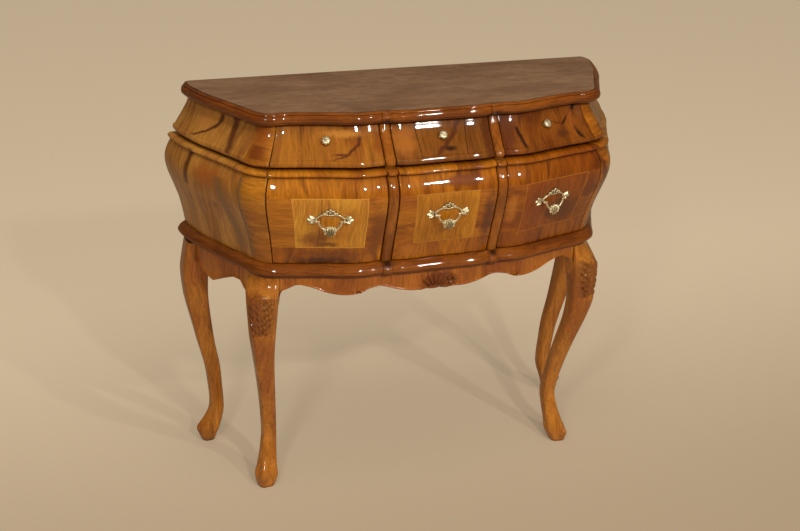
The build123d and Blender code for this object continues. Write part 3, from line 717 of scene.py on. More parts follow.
def leg_wood(name, tones):
    """The legs' and aprons' wood, given a darker tone in the knees' leaves and in the apron's shell.

    Out is the distance along the front leg's direction, |x| sin(turn) - y cos(turn). The shell is an
    ellipse of x and z.
    """
    material, shader, n = new_material(name)
    x, y, z = n.split(object_place(n))[:3]
    colour, height = wood(n, n.combine(x, z, y), tones, 0.35)
    wide = n.math("ABSOLUTE", x)
    turn = radians(leg_turn)
    out = n.minus(n.times(wide, sin(turn)), n.times(y, cos(turn)))
    shift = n.remap(n.noise(object_place(n), 70.0, 2.0), 0.3, 0.7, -leaf_ragged, leaf_ragged)
    off = n.math("ABSOLUTE", n.minus(n.plus(z, shift), leaf_z))
    knee = n.remap(off, leaf_half - leaf_edge, leaf_half + leaf_edge, 1, 0)
    knee = n.times(n.remap(out, leaf_out - leaf_out_edge, leaf_out + leaf_out_edge), knee)
    knee = n.times(knee, n.remap(wide, leaf_x - leaf_edge, leaf_x + leaf_edge))
    across = n.times(n.minus(x, shell_x), shell_squeeze_share)
    shell = n.vector_length(n.combine(across, n.minus(z, shell_z)))
    shell = n.remap(shell, shell_reach - shell_edge, shell_reach + shell_edge, 1, 0)
    shell = n.times(shell, n.math("LESS_THAN", y, shell_y))
    carving_mix = n.times(n.math("MAXIMUM", knee, shell), carving_tone_share)
    varnish(n, shader, n.blend(carving_mix, colour, carving_tone), height)
    return material


leg_finish = leg_wood("leg_walnut", leg_tones)
apron_finish = leg_wood("apron_walnut", apron_tones)

# Heights between which the inlay runs, and half the width of its string
inlay_low = 0.6
inlay_high = 0.718
string_half = 0.0007


def drawer_veneer(name, tones, bands, string, seed, sides, marks):
    """A lower drawer front: a honey field in a string inlay, with cross-banding round it.

    Over and under the inlay the bands' grain is upright, and beside it the grain runs along the
    front. sides are the inlay's left and right U and their leans.
    """
    material, shader, n = new_material(name)
    uv = plan_uv(n)
    v = n.split(uv)[1]
    lines = use(n, inlay, {
        "Vector": uv, "Low": inlay_low, "High": inlay_high, "Line": string_half,
        **dict(zip(("Left", "Right", "Left lean", "Right lean"), sides))}, None)
    upright = n.vector("ADD", uv, (seed, seed / 2, 0))
    lying = n.vector("ADD", turned_uv(n, uv), (seed / 3, seed, 0))
    ends_colour, ends_height = wood(n, upright, bands, 0.7, 0.6)
    sides_colour = wood(n, lying, bands, 0.6)[0]
    field_colour = wood(n, n.vector("ADD", uv, (seed * 2, 0, 0)), tones, 0.45)[0]
    ends = n.math("MAXIMUM", n.math("GREATER_THAN", v, inlay_high), n.math("LESS_THAN", v, inlay_low))
    colour = n.blend(ends, sides_colour, ends_colour)
    colour = n.blend(lines["Inside"], colour, field_colour)
    colour = marked(n, uv, colour, ends_height, marks)
    colour = n.blend(lines["Line"], colour, string)
    varnish(n, shader, colour, n.times(ends_height, 0.5))
    return material


def brass_finish(name):
    """Cast brass: pale and polished on the high places, and brown in the hollows, where the brown is painted
    shade.
    """
    material, shader, n = new_material(name)
    place = object_place(n)
    wear = n.noise(place, 160.0, 3.0)
    # Painted shade: ambient occlusion browns the brass in its hollows
    brass_occlusion = n.add("ShaderNodeAmbientOcclusion", {"Distance": brass_shade_reach}, out="AO", samples=8)
    hollow = n.remap(brass_occlusion, 0.25, 0.75)
    tone = n.blend(n.remap(wear, 0.35, 0.65), linear(238, 222, 172), linear(252, 242, 206))
    n.tree.links.new(n.blend(hollow, linear(96, 66, 32), tone), shader.inputs["Base Color"])
    shader.inputs["Metallic"].default_value = 0.8
    n.tree.links.new(n.remap(wear, 0.3, 0.7, 0.3, 0.46), shader.inputs["Roughness"])
    return material


brass = brass_finish("cast_brass")

# Carcase surfaces


def case_outline(s, dip):
    """Posts and ends: lower face, bead, groove, roll, upper face and inside, as a closed outline."""
    shown = [lower_face(s)]
    shown.append(bead(s, shown[0][:, -1:]))
    crown = upper_face(s)
    rolled = roll(s, crown[:, :1])
    deep = rolled[:, 0, 0] - groove_depth
    shown += [column(deep, mid_z - drawer_gap / 2), column(deep, mid_z + drawer_gap / 2), rolled, crown]
    shown = np.concatenate(shown, axis=1)
    shown[..., 0] -= dip[:, None]
    head = crown[:, -1, 0] - wall
    inside = 0 * head - post_inside
    back = [column(head, crown_z), column(inside, mid_z), column(inside, waist_z)]
    return np.concatenate([shown, *back], axis=1)


# Marks of each veneered piece, on its UV map
case_marks = {
    "left_side_panel": [
        patch_mark(-0.572, 0.824, 0.036, 0.024, linear(186, 122, 54)),
        line_mark(-0.592, 2.86, -29.2, 0.789, 0.846, 0.011, umber, 0.006),
        line_mark(-0.468, -0.17, 0, 0.78, 0.858, 0.018, shadow, 0.008),
        patch_mark(-0.505, 0.722, 0.066, 0.03, linear(158, 88, 30)),
        line_mark(-0.585, 0.1, 0, 0.685, 0.765, 0.014, umber, 0.006),
        patch_mark(-0.502, 0.661, 0.011, 0.008, olive),
        # Painted reflection: a greyish sheen of the room on the glossy side
        line_mark(-0.44, -0.25, 0, 0.58, 0.73, 0.03, linear(128, 88, 48), 0.008),
    ],
    "left_front_post": [
        line_mark(-0.392, 0, 0, 0.787, 0.8145, 0.036, linear(112, 54, 14), 0.002),
        line_mark(-0.392, 0, 0, 0.8155, 0.86, 0.036, linear(140, 74, 20), 0.002),
        # Painted reflection: a greyish sheen down the post's corner
        line_mark(-0.412, 0, 0, 0.57, 0.75, 0.014, linear(116, 84, 46), 0.004),
    ],
    "right_front_post": [line_mark(0.385, 0.2, -2.0, 0.57, 0.76, 0.014, shadow)],
    "right_side_panel": [
        patch_mark(0.56, 0.7, 0.06, 0.04, linear(188, 106, 34)),
        line_mark(0.6, -1.9, 9.0, 0.6, 0.75, 0.007),
    ],
    "upper_left_front": [
        line_mark(-0.2397, 3.3, -44.8, 0.789, 0.836, 0.008, umber, 0.01),
        patch_mark(-0.221, 0.7985, 0.024, 0.0036, umber),
        patch_mark(-0.142, 0.818, 0.018, 0.036, linear(128, 66, 20)),
        patch_mark(-0.21, 0.835, 0.05, 0.01, linear(190, 124, 46)),
    ],
    "upper_middle_front": [
        patch_mark(-0.085, 0.82, 0.04, 0.04, linear(160, 94, 32)),
        line_mark(-0.0522, -0.11, 0, 0.786, 0.86, 0.0016, ink, 0.0),
        line_mark(0.0478, 0.09, 0, 0.786, 0.86, 0.0016, ink, 0.0),
        line_mark(-0.02, 1.6, -10.0, 0.789, 0.85, 0.012, umber),
        patch_mark(0.0128, 0.799, 0.019, 0.0065, ink),
        patch_mark(0.1, 0.82, 0.022, 0.06, umber),
    ],
    "upper_right_front": [
        patch_mark(0.155, 0.82, 0.022, 0.04, shadow),
        line_mark(0.1862, -0.62, 6.0, 0.787, 0.825, 0.009, ink, 0.006),
        line_mark(0.2929, 1.24, 0, 0.815, 0.852, 0.008, ink, 0.006),
        line_mark(0.2929, -3.8, 0, 0.817, 0.8235, 0.012, umber, 0.006),
        line_mark(0.3385, -1.0, 16.0, 0.787, 0.85, 0.009, ink, 0.006),
        patch_mark(0.288, 0.802, 0.022, 0.013, umber),
        patch_mark(0.32, 0.822, 0.014, 0.03, linear(140, 74, 22)),
    ],
    "lower_left_front": [
        patch_mark(-0.28, 0.62, 0.042, 0.022, linear(134, 78, 26)),
        patch_mark(-0.25, 0.608, 0.03, 0.008, linear(104, 56, 20)),
        line_mark(-0.272, 0, 0, 0.6, 0.719, 0.0014, shadow, 0.0),
        patch_mark(-0.152, 0.63, 0.02, 0.075, linear(118, 62, 20)),
        patch_mark(-0.245, 0.578, 0.1, 0.026, linear(110, 56, 22)),
        patch_mark(-0.26, 0.566, 0.09, 0.012, linear(70, 36, 24)),
    ],
    "lower_middle_front": [
        patch_mark(0.035, 0.742, 0.05, 0.016, linear(104, 54, 24)),
        patch_mark(0.094, 0.65, 0.018, 0.09, linear(92, 46, 22)),
        patch_mark(0.02, 0.74, 0.05, 0.012, linear(120, 62, 20)),
        patch_mark(-0.075, 0.585, 0.03, 0.02, linear(172, 100, 32)),
    ],
    "lower_right_front": [
        patch_mark(0.29, 0.635, 0.06, 0.045, linear(92, 50, 16)),
        patch_mark(0.345, 0.68, 0.014, 0.06, linear(104, 48, 14)),
        patch_mark(0.235, 0.74, 0.004, 0.02, umber),
        patch_mark(0.15, 0.66, 0.016, 0.05, linear(170, 100, 32)),
    ],
}

post_start = station_at(post_half + side_gap / 2)
seam = 0.0003
case_step = 0.0035
for node, start, stop, tones, seed in (
    ("left_front_post", -post_stop, -post_start, veneer_tones, 14.3),
    ("left_side_panel", -back_stop, -post_stop, side_tones, 22.1),
    ("right_front_post", post_start, post_stop, right_post_tones, 11.0),
    ("right_side_panel", post_stop, back_stop, side_tones, 17.0),
):
    s, dip = spread(start, stop, case_step, seam)
    along = node.endswith("front_post")
    finish = case_veneer(f"{node}_veneer", tones, seed, along, 0.5, case_marks[node])
    make(f"{node}_shell", carried(node, s, case_outline(s, dip)), finish, [node])

# Top moulding and waist moulding, with a block where each stile meets them

edge_width = 0.013
rebate = 0.016
top_thick = 0.014
field_lip = 0.0015
fit = 0.0003
cove_step = 0.003
cove_push_share = 0.3
corner_ease = 0.008
field_share = (-0.88, -0.18)
block_proud = 0.006
moulding_step = 0.004


def block(s, half=stile_half, proud=block_proud):
    """How far the mouldings stand forward at the stiles: a half ellipse across each stile's width."""
    x = np.abs(plan(s)[0]) - bay_half
    return proud * np.sqrt(np.maximum(1 - (x / half) ** 2, 0))


def moulding_stations(start, stop):
    """Stations of a moulding, closer together across the stile blocks."""
    s = spread(start, stop, moulding_step)[0]
    across = bay_half + stile_half * np.sin(np.linspace(-pi / 2, pi / 2, 17))
    extra = np.concatenate([station_at(across), station_at(-across)])
    return np.unique(np.concatenate([s, extra[(extra > start) & (extra < stop)]]))


def top_outline(s):
    """Lip, ovolo, quirk, torus, fillet and cove of the top's edge, with the rebate for the field.

    Places on the edge are shares of its width, out from the field, and of its height, down from the
    top. Towards the back corners the edge eases inwards.
    """
    ease = corner_ease * np.interp(np.abs(s), [back_stop - 2, back_stop - 1, back_stop], [0, 0.12, 1])
    edge = lean * mixed(s, field_share) - ease
    drop = top_z - crown_z
    push = block(s)

    def at(out, down):
        return column(edge + edge_width * out + push, top_z - drop * down)

    cove = lean * mixed(s, upper_shares[-1][1:]) - ease + cove_step + cove_push_share * push
    seat = top_z - top_thick - fit
    parts = [
        column(edge, seat), column(edge, top_z - field_lip), at(0.08, 0.03),
        swell(at(0.08, 0.03), at(0.4, 0.07), at(0.52, 0.17), 6), at(0.52, 0.18), at(0.5, 0.2),
        swell(at(0.5, 0.2), at(1.0, 0.47), at(0.74, 0.74), 12), at(0.66, 0.74), at(0.66, 0.79),
        swell(at(0.6, 0.79), at(0.62, 0.83), at(0.5, 0.88), 4),
        column(cove, crown_z + cove_step), column(cove, crown_z),
        column(edge - rebate, crown_z), column(edge - rebate, seat),
    ]
    return np.concatenate(parts, axis=1)


waist_inside = 0.028
waist_proud = 0.017
waist_shares = [(0.12, 0), (1, 0.44), (0.64, 0.68), (0.5, 0.7), (0.64, 0.79), (0.44, 0.88), (0.2, 0.9)]


def waist_outline(s):
    """Roll, quirk, small bead and fascia of the waist moulding."""
    push = block(s)
    drop = waist_z - frieze_z
    top, nose, foot, quirk, small, small_foot, low = [
        column(waist_proud * out + push, waist_z - drop * down) for out, down in waist_shares]
    fascia = low - (0, drop - waist_z + low[0, 0, 1])
    inside = 0 * push - waist_inside
    parts = [top, swell(top, nose, foot, 16), foot, quirk, swell(quirk, small, small_foot, 8), small_foot,
             low, fascia, column(inside, frieze_z), column(inside, waist_z)]
    return np.concatenate(parts, axis=1)


s = moulding_stations(-back_stop, back_stop)
for name, outline, node in (
    ("top_moulding_edge", top_outline(s), "top_moulding"),
    ("waist_moulding_roll", waist_outline(s), "waist_moulding"),
):
    make(name, carried(name, s, outline, 30), moulding_finish, [node])

# Stiles: half round, with the bead and the roll carried across them


def stile_mesh(name, side):
    """A half-round rod whose front follows the case profile at the stile, from waist to crown.

    At angle a from straight out, a point is at X = stile_half * sin(a), and stands out by the profile
    plus stile_proud * cos(a).
    """
    s = np.array([float(stile_stop)])
    low, high = lower_face(s, count=50), upper_face(s, count=26)
    knuckle = bead(s, low[:, -1:])
    rolled = roll(s, high[:, :1])
    deep = rolled[:, 0, 0] - stile_groove
    groove = [column(deep, mid_z - drawer_gap / 2), column(deep, mid_z + drawer_gap / 2)]
    line = np.concatenate([low, knuckle, *groove, rolled, high], axis=1)[0]
    a = np.linspace(-pi / 2, pi / 2, 17)
    x = side * bay_half + np.concatenate([[-stile_half], stile_half * np.sin(a), [stile_half]])
    deep = plan(s)[1][0]
    front = back_y - deep - line[:, :1] - stile_proud * np.cos(a)[None]
    back = np.full((len(line), 1), board_front)
    y = np.concatenate([back, front, back], axis=1)
    points = np.stack(np.broadcast_arrays(x[None], y, line[:, 1:]), axis=-1)
    return grid_mesh(name, points)


for hand, side in (("left", -1), ("right", 1)):
    name = f"{hand}_stile_rod"
    make(name, stile_mesh(name, side), stile_finish, [f"{hand}_stile"])

# Drawer fronts


def drawer_outline(level, s, dip, back_plane):
    """A drawer front's closed outline: its shown face, then its flat back."""
    _, deep, turn = plan(s)
    back = (back_y - back_plane - deep) / np.cos(np.radians(turn))
    if level == "upper":
        crown = upper_face(s, side_gap)
        shown = np.concatenate([roll(s, crown[:, :1]), crown], axis=1)
    else:
        low = lower_face(s, side_gap)
        shown = np.concatenate([low, bead(s, low[:, -1:])], axis=1)
    shown[..., 0] -= dip[:, None]
    return np.concatenate([shown, column(back, shown[0, -1, 1]), column(back, shown[0, 0, 1])], axis=1)


inner_end = bay_half - stile_half - side_gap
outer_start = bay_half + stile_half + side_gap
outer_end = post_half - side_gap / 2
bays = {
    "left": (-outer_end, -outer_start), "middle": (-inner_end, inner_end), "right": (outer_start, outer_end),
}
inlay_sides = {
    "left": (-0.3214, -0.1755, -0.096, -0.017), "middle": (-0.0702, 0.0669, -0.046, -0.013),
    "right": (0.1779, 0.329, 0.0, 0.119),
}
drawer_seeds = {"left": 5.0, "middle": 7.7, "right": 9.1}
drawer_step = 0.003

for level in ("upper", "lower"):
    for bay, (low_x, high_x) in bays.items():
        node = f"{level}_{bay}_front"
        s, dip = spread(station_at(low_x), station_at(high_x), drawer_step, edge_round)
        seed, marks = drawer_seeds[bay], case_marks[node]
        if level == "upper":
            finish = case_veneer(f"{node}_veneer", upper_tones[bay], seed, False, 0.45, marks)
        else:
            finish = drawer_veneer(f"{node}_veneer", field_tones[bay], band_tones[bay], string_tones[bay],
                                   seed, inlay_sides[bay], marks)
        outline = drawer_outline(level, s, dip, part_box(f"{level}_{bay}_sides")[0][1])
        make(f"{node}_panel", carried(node, s, outline), finish, [node], f"{level}_{bay}_drawer")

# Aprons

apron_thick = 0.02
apron_out = 0.002
apron_drop = 0.036
rim_height = 0.002
rim_share = (0.9, 0.06)  # its place down the apron and its width
rim_fall = 0.005
apron_foot_share = 0.05
knee_start = 13.1  # stations between which an apron belongs to a knee
knee_stop = 17.9
apron_stop = 23.2
apron_step = 0.0015
carved_step = 0.0008
front_drop_shares = [1.14, 1.16, 1.16, 1.01, 0.91, 0.8, 0.72, 0.82, 1.08, 1.12, 0.97, 0.64, 0.46, 0.8]
knee_drop_shares = [
    (13.1, 0.82), (13.25, 1.0), (13.4, 1.35), (13.55, 1.85), (13.7, 2.1), (15, 2.0), (16, 1.92), (17, 1.72),
    (17.9, 1.32),
]
end_drop_shares = [
    (17.9, 1.32), (18.3, 0.88), (19, 0.91), (20, 1.36), (21, 1.82), (22, 1.52), (22.9, 1.17), (24, 1.1),
]


def drop_at(s):
    """How far the scalloped edge hangs below the frieze line at stations s.

    Each whole station of the front has its own share, with a smooth curve through them.
    """
    s = np.abs(s)
    padded = np.array([front_drop_shares[1], *front_drop_shares, 0.97, 1.12])[:, None]
    front = curve(padded, np.clip(s, 0, len(front_drop_shares) - 0.001))[:, 0]
    knee = np.interp(s, *zip(*knee_drop_shares))
    end = np.interp(s, *zip(*end_drop_shares))
    return apron_drop * np.where(s <= knee_start, front, np.where(s < knee_stop, knee, end))


def apron_mesh(name, start, stop, relief=None, step=apron_step):
    """An apron: a flat face over a raised, rounded rim, with a scalloped lower edge.

    A share t of the way down, the face stands out by apron_out and by the rim, a bell curve of t, and
    it falls away with the square of t over its foot. relief adds the carving.
    """
    s = spread(start, stop, step)[0]
    drop = drop_at(s)
    t = np.linspace(0, 1, 42)
    fall = np.maximum(t - 1 + apron_foot_share, 0) / apron_foot_share
    out = apron_out + rim_height * np.exp(-(((t - rim_share[0]) / rim_share[1]) ** 2)) - rim_fall * fall**2
    face_out = np.broadcast_to(out, (len(s), len(t))).copy()
    z = frieze_z - drop[:, None] * t
    if relief is not None:
        face_out += relief(length_at(s)[:, None], z)
    outline = np.stack([face_out, z], axis=-1)
    low = column(0 * drop - apron_thick, frieze_z - drop)
    high = column(0 * drop - apron_thick, frieze_z)
    return carried(name, s, np.concatenate([outline, low, high], axis=1), 50)


def shell_relief(u, z):
    """The carving in the middle of the front apron: a ribbed fan, a bud beside it and a boss below.

    The fan's ribs are a cosine of the angle about its foot, inside an outline that the same cosine
    scallops. The bud has five petals, also a cosine of the angle, round a hollow.
    """
    x, y = u + 0.008, z - (frieze_z - 0.04)
    r = np.hypot(x, y)
    angle = np.arctan2(x, np.maximum(y + 0.006, 1e-4))
    ribs = np.cos(angle * 17)
    reach = 0.037 + 0.003 * ribs
    fan = np.clip((reach - r) / 0.003, 0, 1) * np.clip((y + 0.005) / 0.003, 0, 1)
    fan = fan * (-0.0012 + 0.0046 * (0.5 + 0.5 * ribs) * np.clip(r / 0.014, 0, 1))
    px, py = u - 0.031, z - (frieze_z - 0.023)
    far = np.hypot(px, py)
    turn = np.arctan2(px, py)
    bud = np.clip((0.0125 * (1 + 0.2 * np.cos(5 * turn)) - far) / 0.003, 0, 1)
    bud = bud * (0.0034 - 0.004 * np.exp(-((far / 0.003) ** 2)) + 0.0016 * np.cos(5 * turn))
    boss = np.sqrt(np.maximum(1 - ((u - 0.014) / 0.01) ** 2 - ((z - frieze_z + 0.038) / 0.006) ** 2, 0))
    left = np.sqrt(np.maximum(1 - ((u + 0.012) / 0.012) ** 2 - ((z - frieze_z + 0.038) / 0.004) ** 2, 0))
    carved = np.where(bud != 0, bud, fan)
    return np.where(boss + left > 0, np.maximum(0.0055 * boss, 0.004 * left), carved)


def scroll_relief(u, z):
    """The small scroll leaves where the scalloped edge steps: a spiral cosine in an ellipse."""
    x, y = (np.abs(u) - 0.18) / 0.017, (z - frieze_z + 0.031) / 0.007
    r = np.hypot(x, y)
    return 0.0062 * np.sqrt(np.clip(1 - r, 0, 1)) * (0.55 + 0.45 * np.cos(r * 9 + np.arctan2(y, x) * 2))


def front_relief(u, z):
    """All the carving of the front apron."""
    return shell_relief(u, z) + scroll_relief(u, z)


for node, start, stop, relief, step in (
    ("front_apron", -knee_start, knee_start, front_relief, carved_step),
    ("left_apron", -apron_stop, -knee_stop, None, apron_step),
    ("right_apron", knee_stop, apron_stop, None, apron_step),
):
    mesh = apron_mesh(f"{node}_face", start, stop, relief, step)
    make(f"{node}_face", mesh, apron_finish, [node])

# Legs

knee_x = 0.3757
knee_depth = 0.2749
sway = 0.071
leg_width = 0.064
soft_turn = 0.002  # over which drawn_back eases in
draw_start = 0.004
draw_growth = 0.03
draw_length = 0.045
leaf_low = 0.395
leaf_length = 0.098
front_tip_share = 0.05  # heights of the widest places of the feet
back_tip_share = 0.075
toe_half = 0.24
# Height, middle along the sway and width of the legs, each as a share
front_leg_shares = [
    (1.0, -0.05, 1.0), (0.932, -0.04, 1.0), (0.857, -0.01, 0.94), (0.798, 0, 0.875), (0.73, 0, 0.8),
    (0.629, -0.17, 0.68), (0.5, -0.49, 0.59), (0.38, -0.76, 0.535), (0.28, -0.94, 0.51), (0.207, -1.0, 0.505),
    (0.141, -0.85, 0.56), (0.086, -0.66, 0.66), (0.049, -0.53, 0.76), (0.02, -0.46, 0.68), (0, -0.42, 0.56),
]
back_knee_x = 0.47
back_sway = 0.045
back_leg_shares = [
    (1.0, -0.24, 0.94), (0.932, -0.1, 0.95), (0.857, 0.03, 0.92), (0.76, 0, 0.84), (0.697, -0.09, 0.78),
    (0.599, -0.29, 0.68), (0.496, -0.51, 0.6), (0.38, -0.8, 0.54), (0.28, -0.93, 0.5), (0.19, -1.0, 0.5),
    (0.137, -0.9, 0.56), (0.076, -0.58, 0.68), (0.034, -0.5, 0.6), (0, -0.52, 0.46),
]


def drawn_back(x, y, allowed):
    """Moves places that stand out from the plan curve by more than allowed straight back towards it.

    The amount over is soft_turn * log(1 + exp(over / soft_turn)), so the surface stays smooth.
    """
    near_x, near_deep = table_x[::10], table_deep[::10]
    near_turn = np.radians(plan(table_s[::10])[2])
    gap = (x[..., None] - near_x) ** 2 + (back_y - near_deep - y[..., None]) ** 2
    near = gap.argmin(axis=-1)
    along_x, along_y = np.sin(near_turn)[near], -np.cos(near_turn)[near]
    out = (x - near_x[near]) * along_x + (y - back_y + near_deep[near]) * along_y
    over = soft_turn * np.logaddexp(0, (out - allowed) / soft_turn)
    return x - over * along_x, y - over * along_y


def knee_relief(q, w):
    """The leaf on a knee: q runs from its tip to its top, and w is the angle from its middle.

    Its outline is a bow of q, its lobes a cosine of q and w that points outwards like a chevron and
    curls with a sine, and a raised stem runs down its middle.
    """
    bow = 1.05 * np.sqrt(np.clip(np.sin(pi * np.clip(0.06 + 0.82 * q, 0, 1)), 0, 1))
    ends = np.clip(q / 0.05, 0, 1) * np.clip((1 - q) / 0.08, 0, 1)
    edge = np.clip((bow - np.abs(w)) / 0.12, 0, 1) * ends
    curl = 0.16 * np.sin(9 * w + 14 * q)
    lobes = 0.5 + 0.5 * np.cos(2 * pi * (q * 6.2 - np.abs(w) * 1.4 + curl))
    veins = 0.5 + 0.5 * np.cos(2 * pi * (q * 4.1 + w * 3.6 + 0.3 * np.sin(17 * q)))
    stem = np.exp(-((w / 0.1) ** 2))
    return edge * (0.0042 * lobes * np.abs(w) ** 0.5 + 0.0022 * veins + 0.0032 * stem - 0.0042)


def leg_mesh(name, side, shares, flush):
    """A cabriole leg: rounded squares along its sway. flush sets a back leg against the back plane.

    The section is a superellipse, |x|^n + |y|^n = 1, with n from 5 at the knee to 2.8 at the foot.
    Its middle moves by the sway times the second share, out along the leg's own direction. Below the
    ankle five ridges open out, |cos(2.5 w)| of the angle w from the leg's direction, and the toe, a
    bell curve of w, comes to a point.
    """
    rows = smooth(np.array(shares), 420)
    up, out, wide = rows.T
    half = leg_width * wide / 2
    direction = radians(90 if flush else leg_turn)
    reach = back_sway if flush else sway
    x = (back_knee_x if flush else knee_x) + reach * out * sin(direction)
    deep = half if flush else knee_depth + reach * out * cos(direction)
    a = np.linspace(0, 2 * pi, 96, endpoint=False)
    power = np.interp(up, [0, 0.12, 0.4, 1], [2.8, 3.4, 4.6, 5.0])[:, None]
    lobe = (np.abs(np.cos(a)) ** power + np.abs(np.sin(a)) ** power) ** (-1 / power)
    outward = 0 if flush else pi / 2 - radians(leg_turn)
    w = (a - outward + pi) % (2 * pi) - pi
    tip = back_tip_share if flush else front_tip_share
    heights = [0, 0.4 * tip, 0.75 * tip, tip, 1.6 * tip, 0.19]
    foot = np.interp(up, heights, [0.15, 0.4, 1.1, 1.45, 0.8, 0])[:, None]
    toes = 0.15 * np.abs(np.cos(2.5 * w)) + 0.24 * np.exp(-((w / toe_half) ** 2)) - 0.12
    size = half[:, None] * lobe * (1 + foot * toes)
    if not flush:
        q = (frieze_z * up[:, None] - leaf_low) / leaf_length
        size = size + knee_relief(np.clip(q, 0, 1), w)
    px = x[:, None] + size * np.cos(a)
    py = back_y - deep[:, None] - size * np.sin(a)
    if flush:
        py = np.minimum(py, back_y)
    else:
        below = frieze_z * (1 - up[:, None])
        px, py = drawn_back(px, py, draw_start + draw_growth * (below / draw_length) ** 1.6)
    z = np.broadcast_to(frieze_z * up[:, None], px.shape)
    return grid_mesh(name, np.stack([side * px, py, z], axis=-1), crease=60)


for hand, side in (("left", -1), ("right", 1)):
    name = f"front_{hand}_leg"
    knee = apron_mesh("knee", *sorted((side * knee_start, side * knee_stop)))
    leg = joined(f"{name}_carved", [leg_mesh("leg", side, front_leg_shares, False), knee])
    make(f"{name}_carved", leg, leg_finish, [name])
    name = f"back_{hand}_leg"
    leg = leg_mesh("leg", side, back_leg_shares, True)
    make(f"{name}_carved", leg, leg_finish, [name])

# Knobs and pulls

knob_x = 0.245
knob_z = 0.821
pull_x = 0.249
pull_z = 0.672
pull_half = 0.029  # from the pull's middle to a bolt
pivot_stand = 0.009
ball_radius = 0.0035
mound_edge = 0.0006
plate_thick = 0.0028
drop_thick = 0.0022
arm_radius = 0.002
pin_radius = 0.0013
near_station = 0.3  # how far the neighbours are that give a spot its directions
near_height = 0.002


def spot(x, z, rows):
    """A place on the case face, and its directions along the face, up it and out of it, as rows."""
    def at(station, height):
        line = rows(np.array([station]))[0]
        out = np.interp(height, line[:, 1], line[:, 0])
        return case_point(np.array([station]), np.array([[out]]), height)[0, 0]

    s = float(station_at(x))
    along = at(s + near_station, z) - at(s - near_station, z)
    along /= np.linalg.norm(along)
    out = np.cross(along, at(s, z + near_height) - at(s, z - near_height))
    out /= np.linalg.norm(out)
    return at(s, z), np.stack([along, np.cross(out, along), out])


def fine_upper(s):
    """The upper face, in rows that are close enough to place a knob on."""
    return upper_face(s, count=120)


def fine_lower(s):
    """The swelling face, in rows that are close enough to place a pull on."""
    return lower_face(s, count=200)


def turned(name, profile, place, axes, petals=0.0, count=48):
    """A turned piece: rows of radius and height, and how strongly the petals shape each row.

    At angle a the radius is r * (1 + petals * strength * cos(8 a)).
    """
    r, h, strength = np.array(profile).T[:, :, None]
    a = np.linspace(0, 2 * pi, count, endpoint=False)
    r = r * (1 + petals * strength * np.cos(8 * a))
    local = np.stack(np.broadcast_arrays(r * np.cos(a), r * np.sin(a), h), axis=-1)
    return grid_mesh(name, place + local @ axes, crease=50)


def bar(path, radius, count=14):
    """A round bar along points of a flat path, with a circle across its direction at each."""
    step = np.gradient(path, axis=0)
    step /= np.linalg.norm(step, axis=1)[:, None]
    side = np.cross(step, (0, 0, 1))
    a = np.linspace(0, 2 * pi, count, endpoint=False)[None, :, None]
    radius = np.broadcast_to(radius, (len(path),))[:, None, None]
    return path[:, None] + radius * (np.cos(a) * side[:, None] + np.sin(a) * np.array([0, 0, 1]))


def mound(outline, height, rings=14):
    """A closed mound: rings that shrink from an outline of (points, 2) to its middle, over a flat base.

    Ring r of the way out stands at height(x, y) * sqrt(1 - r^2), on an edge mound_edge thick.
    """
    r = np.sin(np.linspace(0, pi / 2, rings))[:, None]
    middle = outline.mean(axis=0)
    spread_out = middle + r[..., None] * (outline - middle)
    x, y = spread_out[..., 0], spread_out[..., 1]
    top = height(x, y) * np.sqrt(np.maximum(1 - r**2, 0)) + mound_edge
    shell = np.stack([x, y, top], axis=-1)
    base = shell[::-1] * (1, 1, 0)
    return np.concatenate([shell, base])


knob_profile = [
    (0.002, -0.002, 0), (0.0062, 0.0003, 0), (0.0064, 0.0009, 0), (0.0036, 0.0026, 0),
    (0.0035, 0.0038, 0), (0.007, 0.0054, 0.5), (0.0086, 0.0068, 1), (0.0088, 0.0076, 1),
    (0.0082, 0.0088, 0.9), (0.0066, 0.0099, 0.6), (0.0046, 0.0103, 0.2), (0.0036, 0.0101, 0),
    (0.0032, 0.0107, 0), (0.0024, 0.0116, 0), (0.0014, 0.0117, 0), (0.0009, 0.011, 0),
    (0.0002, 0.0109, 0),
]
bolt_profile = [(0.0022, -0.004, 0), (0.0026, 0.002, 0), (0.0022, 0.004, 0), (0.0022, 0.0055, 0)]
bolt_profile += [(ball_radius * sin(t), pivot_stand - ball_radius * cos(t), 0)
                 for t in np.linspace(0.75, pi, 12)]


def level_path(points, height, count):
    """A smooth path of count points through flat points, at one height."""
    return smooth(np.concatenate([points, np.full((len(points), 1), height)], axis=1), count)


